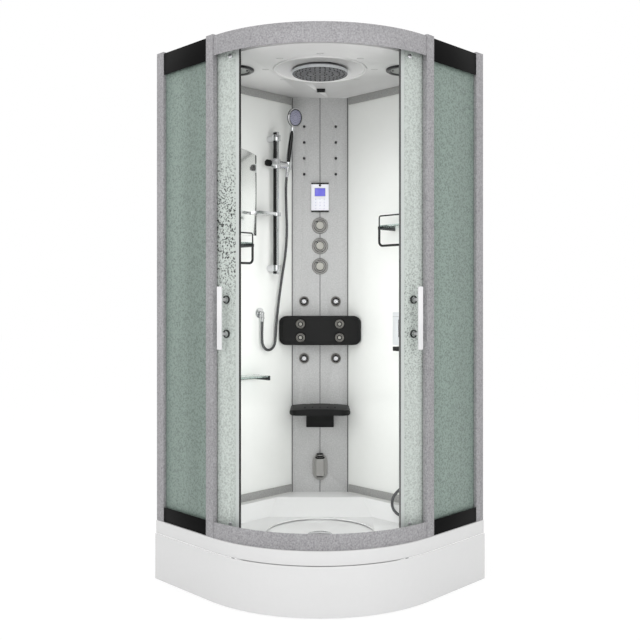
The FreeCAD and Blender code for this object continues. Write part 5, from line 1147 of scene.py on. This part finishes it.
class CABIN_OT_hand_shower(bpy.types.Operator):
    """Hand shower with its spray face, nozzles and grip, in the slider's cradle"""
    bl_idname = "cabin.hand_shower"
    bl_label = "Hand shower"

    def execute(self, context):
        cover("hand_shower", "hand_body", "chrome", 0.9 * MM, 3, 30, body="handset")
        rim = turned("hand_rim", [
            (31, 8), (32.5, 9.9), (39.5, 9.3), (41.3, 6.5), (41.3, 2), (38, 1),
            (31, 4)], HAND_FACE, sides=64, hollow=True)
        dress(rim, "painted_shade_chrome", "handset")
        plate = turned("hand_plate", [
            (31.8, 6), (31.8, 8.9), (24.5, 9.6), (23.8, 8.8), (17.5, 9.2), (16.8, 8.6),
            (6, 9.4)], HAND_FACE, sides=64)
        dress(plate, "spray_violet", "handset")
        rings = ((0.0280, 24), (0.0208, 18), (0.0125, 10))
        tips = studs("hand_tips", rings, Vector((0, 0, 9.6 * MM)), 8, 1.3, 0.8, 2.4)
        dress(smoothed(settled(tips, HAND_FACE)), "rubber", "handset")
        self.grip()
        return {"FINISHED"}

    def grip(self):
        """A black inlay down the front of the handle."""
        grip = turned("hand_grip", [(6, 12), (9, 18), (9.4, 60), (8.8, 100), (7.8, 140), (4, 160)],
            HAND @ Matrix.Translation((0.0034, 0.0042, 0)), sides=40)
        dress(grip, "gloss_black", "handset")


class CABIN_OT_hoses(bpy.types.Operator):
    """The shower hose and the short filling hose, ribbed metal with their nuts"""
    bl_idname = "cabin.hoses"
    bl_label = "Hoses"

    def execute(self, context):
        foot = LEFT_WALL.inverted() @ HAND @ Vector((0, 0, -0.0293))
        points = [foot, foot + Vector((-0.0005, -0.0095, -0.054)), (0.264, 0.056, 1.485),
                  (0.262, 0.059, 1.375), (0.268, 0.056, 1.275), (0.284, 0.051, 1.180), (0.299, 0.049, 1.090),
                  (0.309, 0.046, 1.008), (0.313, 0.042, 0.938), (0.314, 0.040, 0.887), (0.337, 0.041, 0.863),
                  (0.370, 0.044, 0.863), (0.393, 0.046, 0.886), (0.3945, 0.045, 0.928),
                  (0.393, 0.046, 0.9707), (0.393, 0.046, 1.0047)]
        route = [LEFT_WALL @ Vector(point) for point in points]
        hose, path = self.ribbed("shower_hose_metal", route)
        dress(hose, "hose_metal", None, ["shower_hose"])
        self.nut("hose_nut_high", route[0], route[0] - route[1], "slider")
        self.nut("hose_nut_low", route[-1], route[-1] - route[-2], "cabin")
        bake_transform(hose)
        points = [(-0.575, 0.046, 0.3847), (-0.575, 0.046, 0.3547), (-0.562, 0.060, 0.328),
                  (-0.535, 0.078, 0.298), (-0.508, 0.088, 0.262), (-0.513, 0.094, 0.219),
                  (-0.553, 0.094, 0.196), (-0.594, 0.088, 0.214), (-0.609, 0.068, 0.254),
                  (-0.612, 0.046, 0.3007), (-0.612, 0.046, 0.3247)]
        route = [RIGHT_WALL @ Vector(point) for point in points]
        hose, path = self.ribbed("filling_hose_metal", route)
        dress(hose, "hose_metal", "cabin", ["loop_hose"])
        self.nut("filling_nut_high", route[0], route[0] - route[1], "cabin")
        self.nut("filling_nut_low", route[-1], route[-1] - route[-2], "cabin")
        return {"FINISHED"}

    def smooth_line(self, name, route):
        """Points along the smooth spline that has the route as its control points."""
        data = bpy.data.curves.new(name, "CURVE")
        data.dimensions = "3D"
        spline = data.splines.new("NURBS")
        spline.points.add(len(route) - 1)
        for point, place in zip(spline.points, route):
            point.co = (*place, 1)
        spline.order_u = 3
        spline.use_endpoint_u = True
        data.resolution_u = 24
        curve = linked(name, data)
        bpy.context.view_layer.update()
        line = bpy.data.meshes.new_from_object(curve)
        places = [vertex.co.copy() for vertex in line.vertices]
        bpy.data.objects.remove(curve)
        return places

    def ribbed(self, name, route):
        """A spiral metal tube: rings along the line, deeper and shallower by turns."""
        line = self.smooth_line(name + "_line", route)
        radius = 6.0 * MM - sizes().hose_rib
        # Four rings to a rib, and no ribs inside the nuts.
        wave = (1, 0.55, -0.35, 0.55)
        plain_end = 0.012
        step = sizes().hose_pitch / len(wave)
        travelled = [0.0]
        for first, second in zip(line, line[1:]):
            travelled.append(travelled[-1] + (second - first).length)
        total = travelled[-1]
        count = round(total / step)
        sides = 14
        mesh = bpy.data.meshes.new(name)
        verts, faces = [], []
        across = None
        place = 0
        for number in range(count + 1):
            along = min(total * number / count, total)
            while place < len(line) - 2 and travelled[place + 1] < along:
                place += 1
            share = (along - travelled[place]) / max(travelled[place + 1] - travelled[place], 1e-9)
            centre = line[place].lerp(line[place + 1], share)
            ahead = (line[place + 1] - line[place]).normalized()
            if across is None:
                across = ahead.orthogonal().normalized()
            across = (across - ahead * across.dot(ahead)).normalized()
            side = ahead.cross(across)
            plain = min(along, total - along) < plain_end
            swell = 0 if plain else sizes().hose_rib * wave[number % len(wave)]
            for corner in range(sides):
                turn = 2 * math.pi * corner / sides
                verts.append(centre + (across * math.cos(turn) + side * math.sin(turn)) * (radius + swell))
        for ring in range(count):
            for corner in range(sides):
                first, second = ring * sides + corner, ring * sides + (corner + 1) % sides
                faces.append((first, second, second + sides, first + sides))
        faces.append(tuple(reversed(range(sides))))
        faces.append(tuple(range(count * sides, count * sides + sides)))
        mesh.from_pydata(verts, [], faces)
        mesh.update()
        return smoothed(linked(name, mesh), 75), [tuple(point) for point in line]

    def nut(self, name, end, ahead, body):
        """A flared nut on the end of a hose, a little wider at its mouth."""
        overlap = 0.0192
        way = ahead.normalized()
        nut = turned(name, [
            (6.6, 0), (7.2, 1), (7.2, 9), (8.4, 12), (9.2, 18),
            (8.6, 18.6)], facing(end - way * overlap, way), sides=24)
        dress(nut, "chrome", body)


class CABIN_OT_shelves(bpy.types.Operator):
    """Glass shelves with guard wires and towel rails, and the mirror"""
    bl_idname = "cabin.shelves"
    bl_label = "Shelves and mirror"

    def execute(self, context):
        cover("glass_shelves", "shelf_sheets", shelf_glass(), 0.9 * MM)
        cover("shelf_fittings", "shelf_rails", "painted_shade_chrome", 0.7 * MM)
        cover("hose_elbows", "wall_elbows", "chrome", 0.8 * MM)
        cover("wall_mirror", "mirror_sheet", "mirror_silver", 1.0 * MM)
        return {"FINISHED"}


class CABIN_OT_dispenser(bpy.types.Operator):
    """Soap dispenser with its push lever, gauge, foot and lid line"""
    bl_idname = "cabin.dispenser"
    bl_label = "Soap dispenser"

    def execute(self, context):
        cover("soap_dispenser", "dispenser_case", "dispenser_grey", 4 * MM, 3)
        cover("dispenser_lever", "dispenser_push_pad", "moulding", 1 * MM,
              body="dispenser_push")
        for name, near, far, edge in (
                ("dispenser_gauge", (-0.549, 0.0855, 0.925), (-0.541, 0.0880, 0.997), 0.8 * MM),
                ("dispenser_foot", (-0.5803, 0.0255, 0.8678), (-0.5097, 0.0873, 0.8860), 1.5 * MM)):
            dress(block(name, near, far, RIGHT_WALL, edge=edge), "gloss_black")
        lid = block("dispenser_lid", (-0.5802, 0.0260, 1.0085), (-0.5098, 0.0873, 1.0100), RIGHT_WALL)
        dress(rounded(lid, 0.4 * MM), "trim_silver")
        return {"FINISHED"}


# ---- Behind the column ----

class CABIN_OT_plumbing(bpy.types.Operator):
    """Pipes, the mixer's brass nuts, and the steam generator with its vents"""
    bl_idname = "cabin.plumbing"
    bl_label = "Plumbing"

    def execute(self, context):
        cover("pipework", "pipe_runs", "pipe_plastic", 0.8 * MM)
        cover("steam_generator", "boiler_case", "steel", 2.5 * MM, 3)
        mixer_back, inlet_level = COLUMN_FACE + 0.052, 1.204
        nuts = []
        for across in (-0.018, 0.018):
            here = facing(Vector((across, mixer_back, inlet_level)), -OUT)
            nuts.append(turned("nut", [(10.8, 0), (15.5, 0), (16, 1), (16, 9), (15, 10), (10.8, 10)],
                here, sides=6, hollow=True, angle=20))
            nuts.append(turned("lock_ring", [(10.8, 10), (13, 10), (13, 13), (10.8, 13)],
                here, sides=32, hollow=True))
        dress(joined("inlet_nuts", nuts), "brass")
        self.case()
        return {"FINISHED"}

    def case(self):
        """Louvres and four screws on the generator's back."""
        near, far = low("steam_generator"), high("steam_generator")
        half, from_top, tall, step = 0.045, 0.050, 0.006, 0.012
        vents = []
        for number in range(8):
            base = far.z - from_top - number * step
            vents.append(block("vent", (-half, far.y - 0.4 * MM, base), (half, far.y + 1.6 * MM, base + tall),
                               edge=0.7 * MM))
        dress(joined("case_louvres", vents), "gloss_black")
        margin = 0.010
        places = [facing(Vector((across, far.y, level)), -OUT) for across in (near.x + margin, far.x - margin)
                  for level in (near.z + margin, far.z - margin)]
        screws = repeated("case_screws", [(4.2, -0.5), (4.2, 1), (3, 2), (1.2, 2.1), (1, 1.2)], places,
                          sides=20)
        dress(screws, "chrome")


class CABIN_PT_panel(bpy.types.Panel):
    """Lists the cabin's pieces"""
    bl_idname = "CABIN_PT_panel"
    bl_label = "Steam shower cabin"
    bl_space_type = "VIEW_3D"
    bl_region_type = "UI"
    bl_category = "Cabin"

    def draw(self, context):
        for operator in OPERATORS:
            self.layout.operator(operator.bl_idname)


OPERATORS = (
    CABIN_OT_stage, CABIN_OT_tray, CABIN_OT_walls, CABIN_OT_framework, CABIN_OT_doors, CABIN_OT_roof,
    CABIN_OT_controls, CABIN_OT_jets, CABIN_OT_back_rest, CABIN_OT_seat, CABIN_OT_steam, CABIN_OT_slide_bar,
    CABIN_OT_hand_shower, CABIN_OT_hoses, CABIN_OT_shelves, CABIN_OT_dispenser, CABIN_OT_plumbing)
CLASSES = (CabinColours, CabinSizes, *OPERATORS, CABIN_PT_panel)


def register():
    for item in CLASSES:
        bpy.utils.register_class(item)
    bpy.types.Scene.cabin_colours = PointerProperty(type=CabinColours)
    bpy.types.Scene.cabin_sizes = PointerProperty(type=CabinSizes)


def unregister():
    del bpy.types.Scene.cabin_sizes
    del bpy.types.Scene.cabin_colours
    for item in reversed(CLASSES):
        bpy.utils.unregister_class(item)


def main():
    register()
    for operator in OPERATORS:
        family, name = operator.bl_idname.split(".")
        getattr(getattr(bpy.ops, family), name)()


if __name__ == "__main__":
    main()
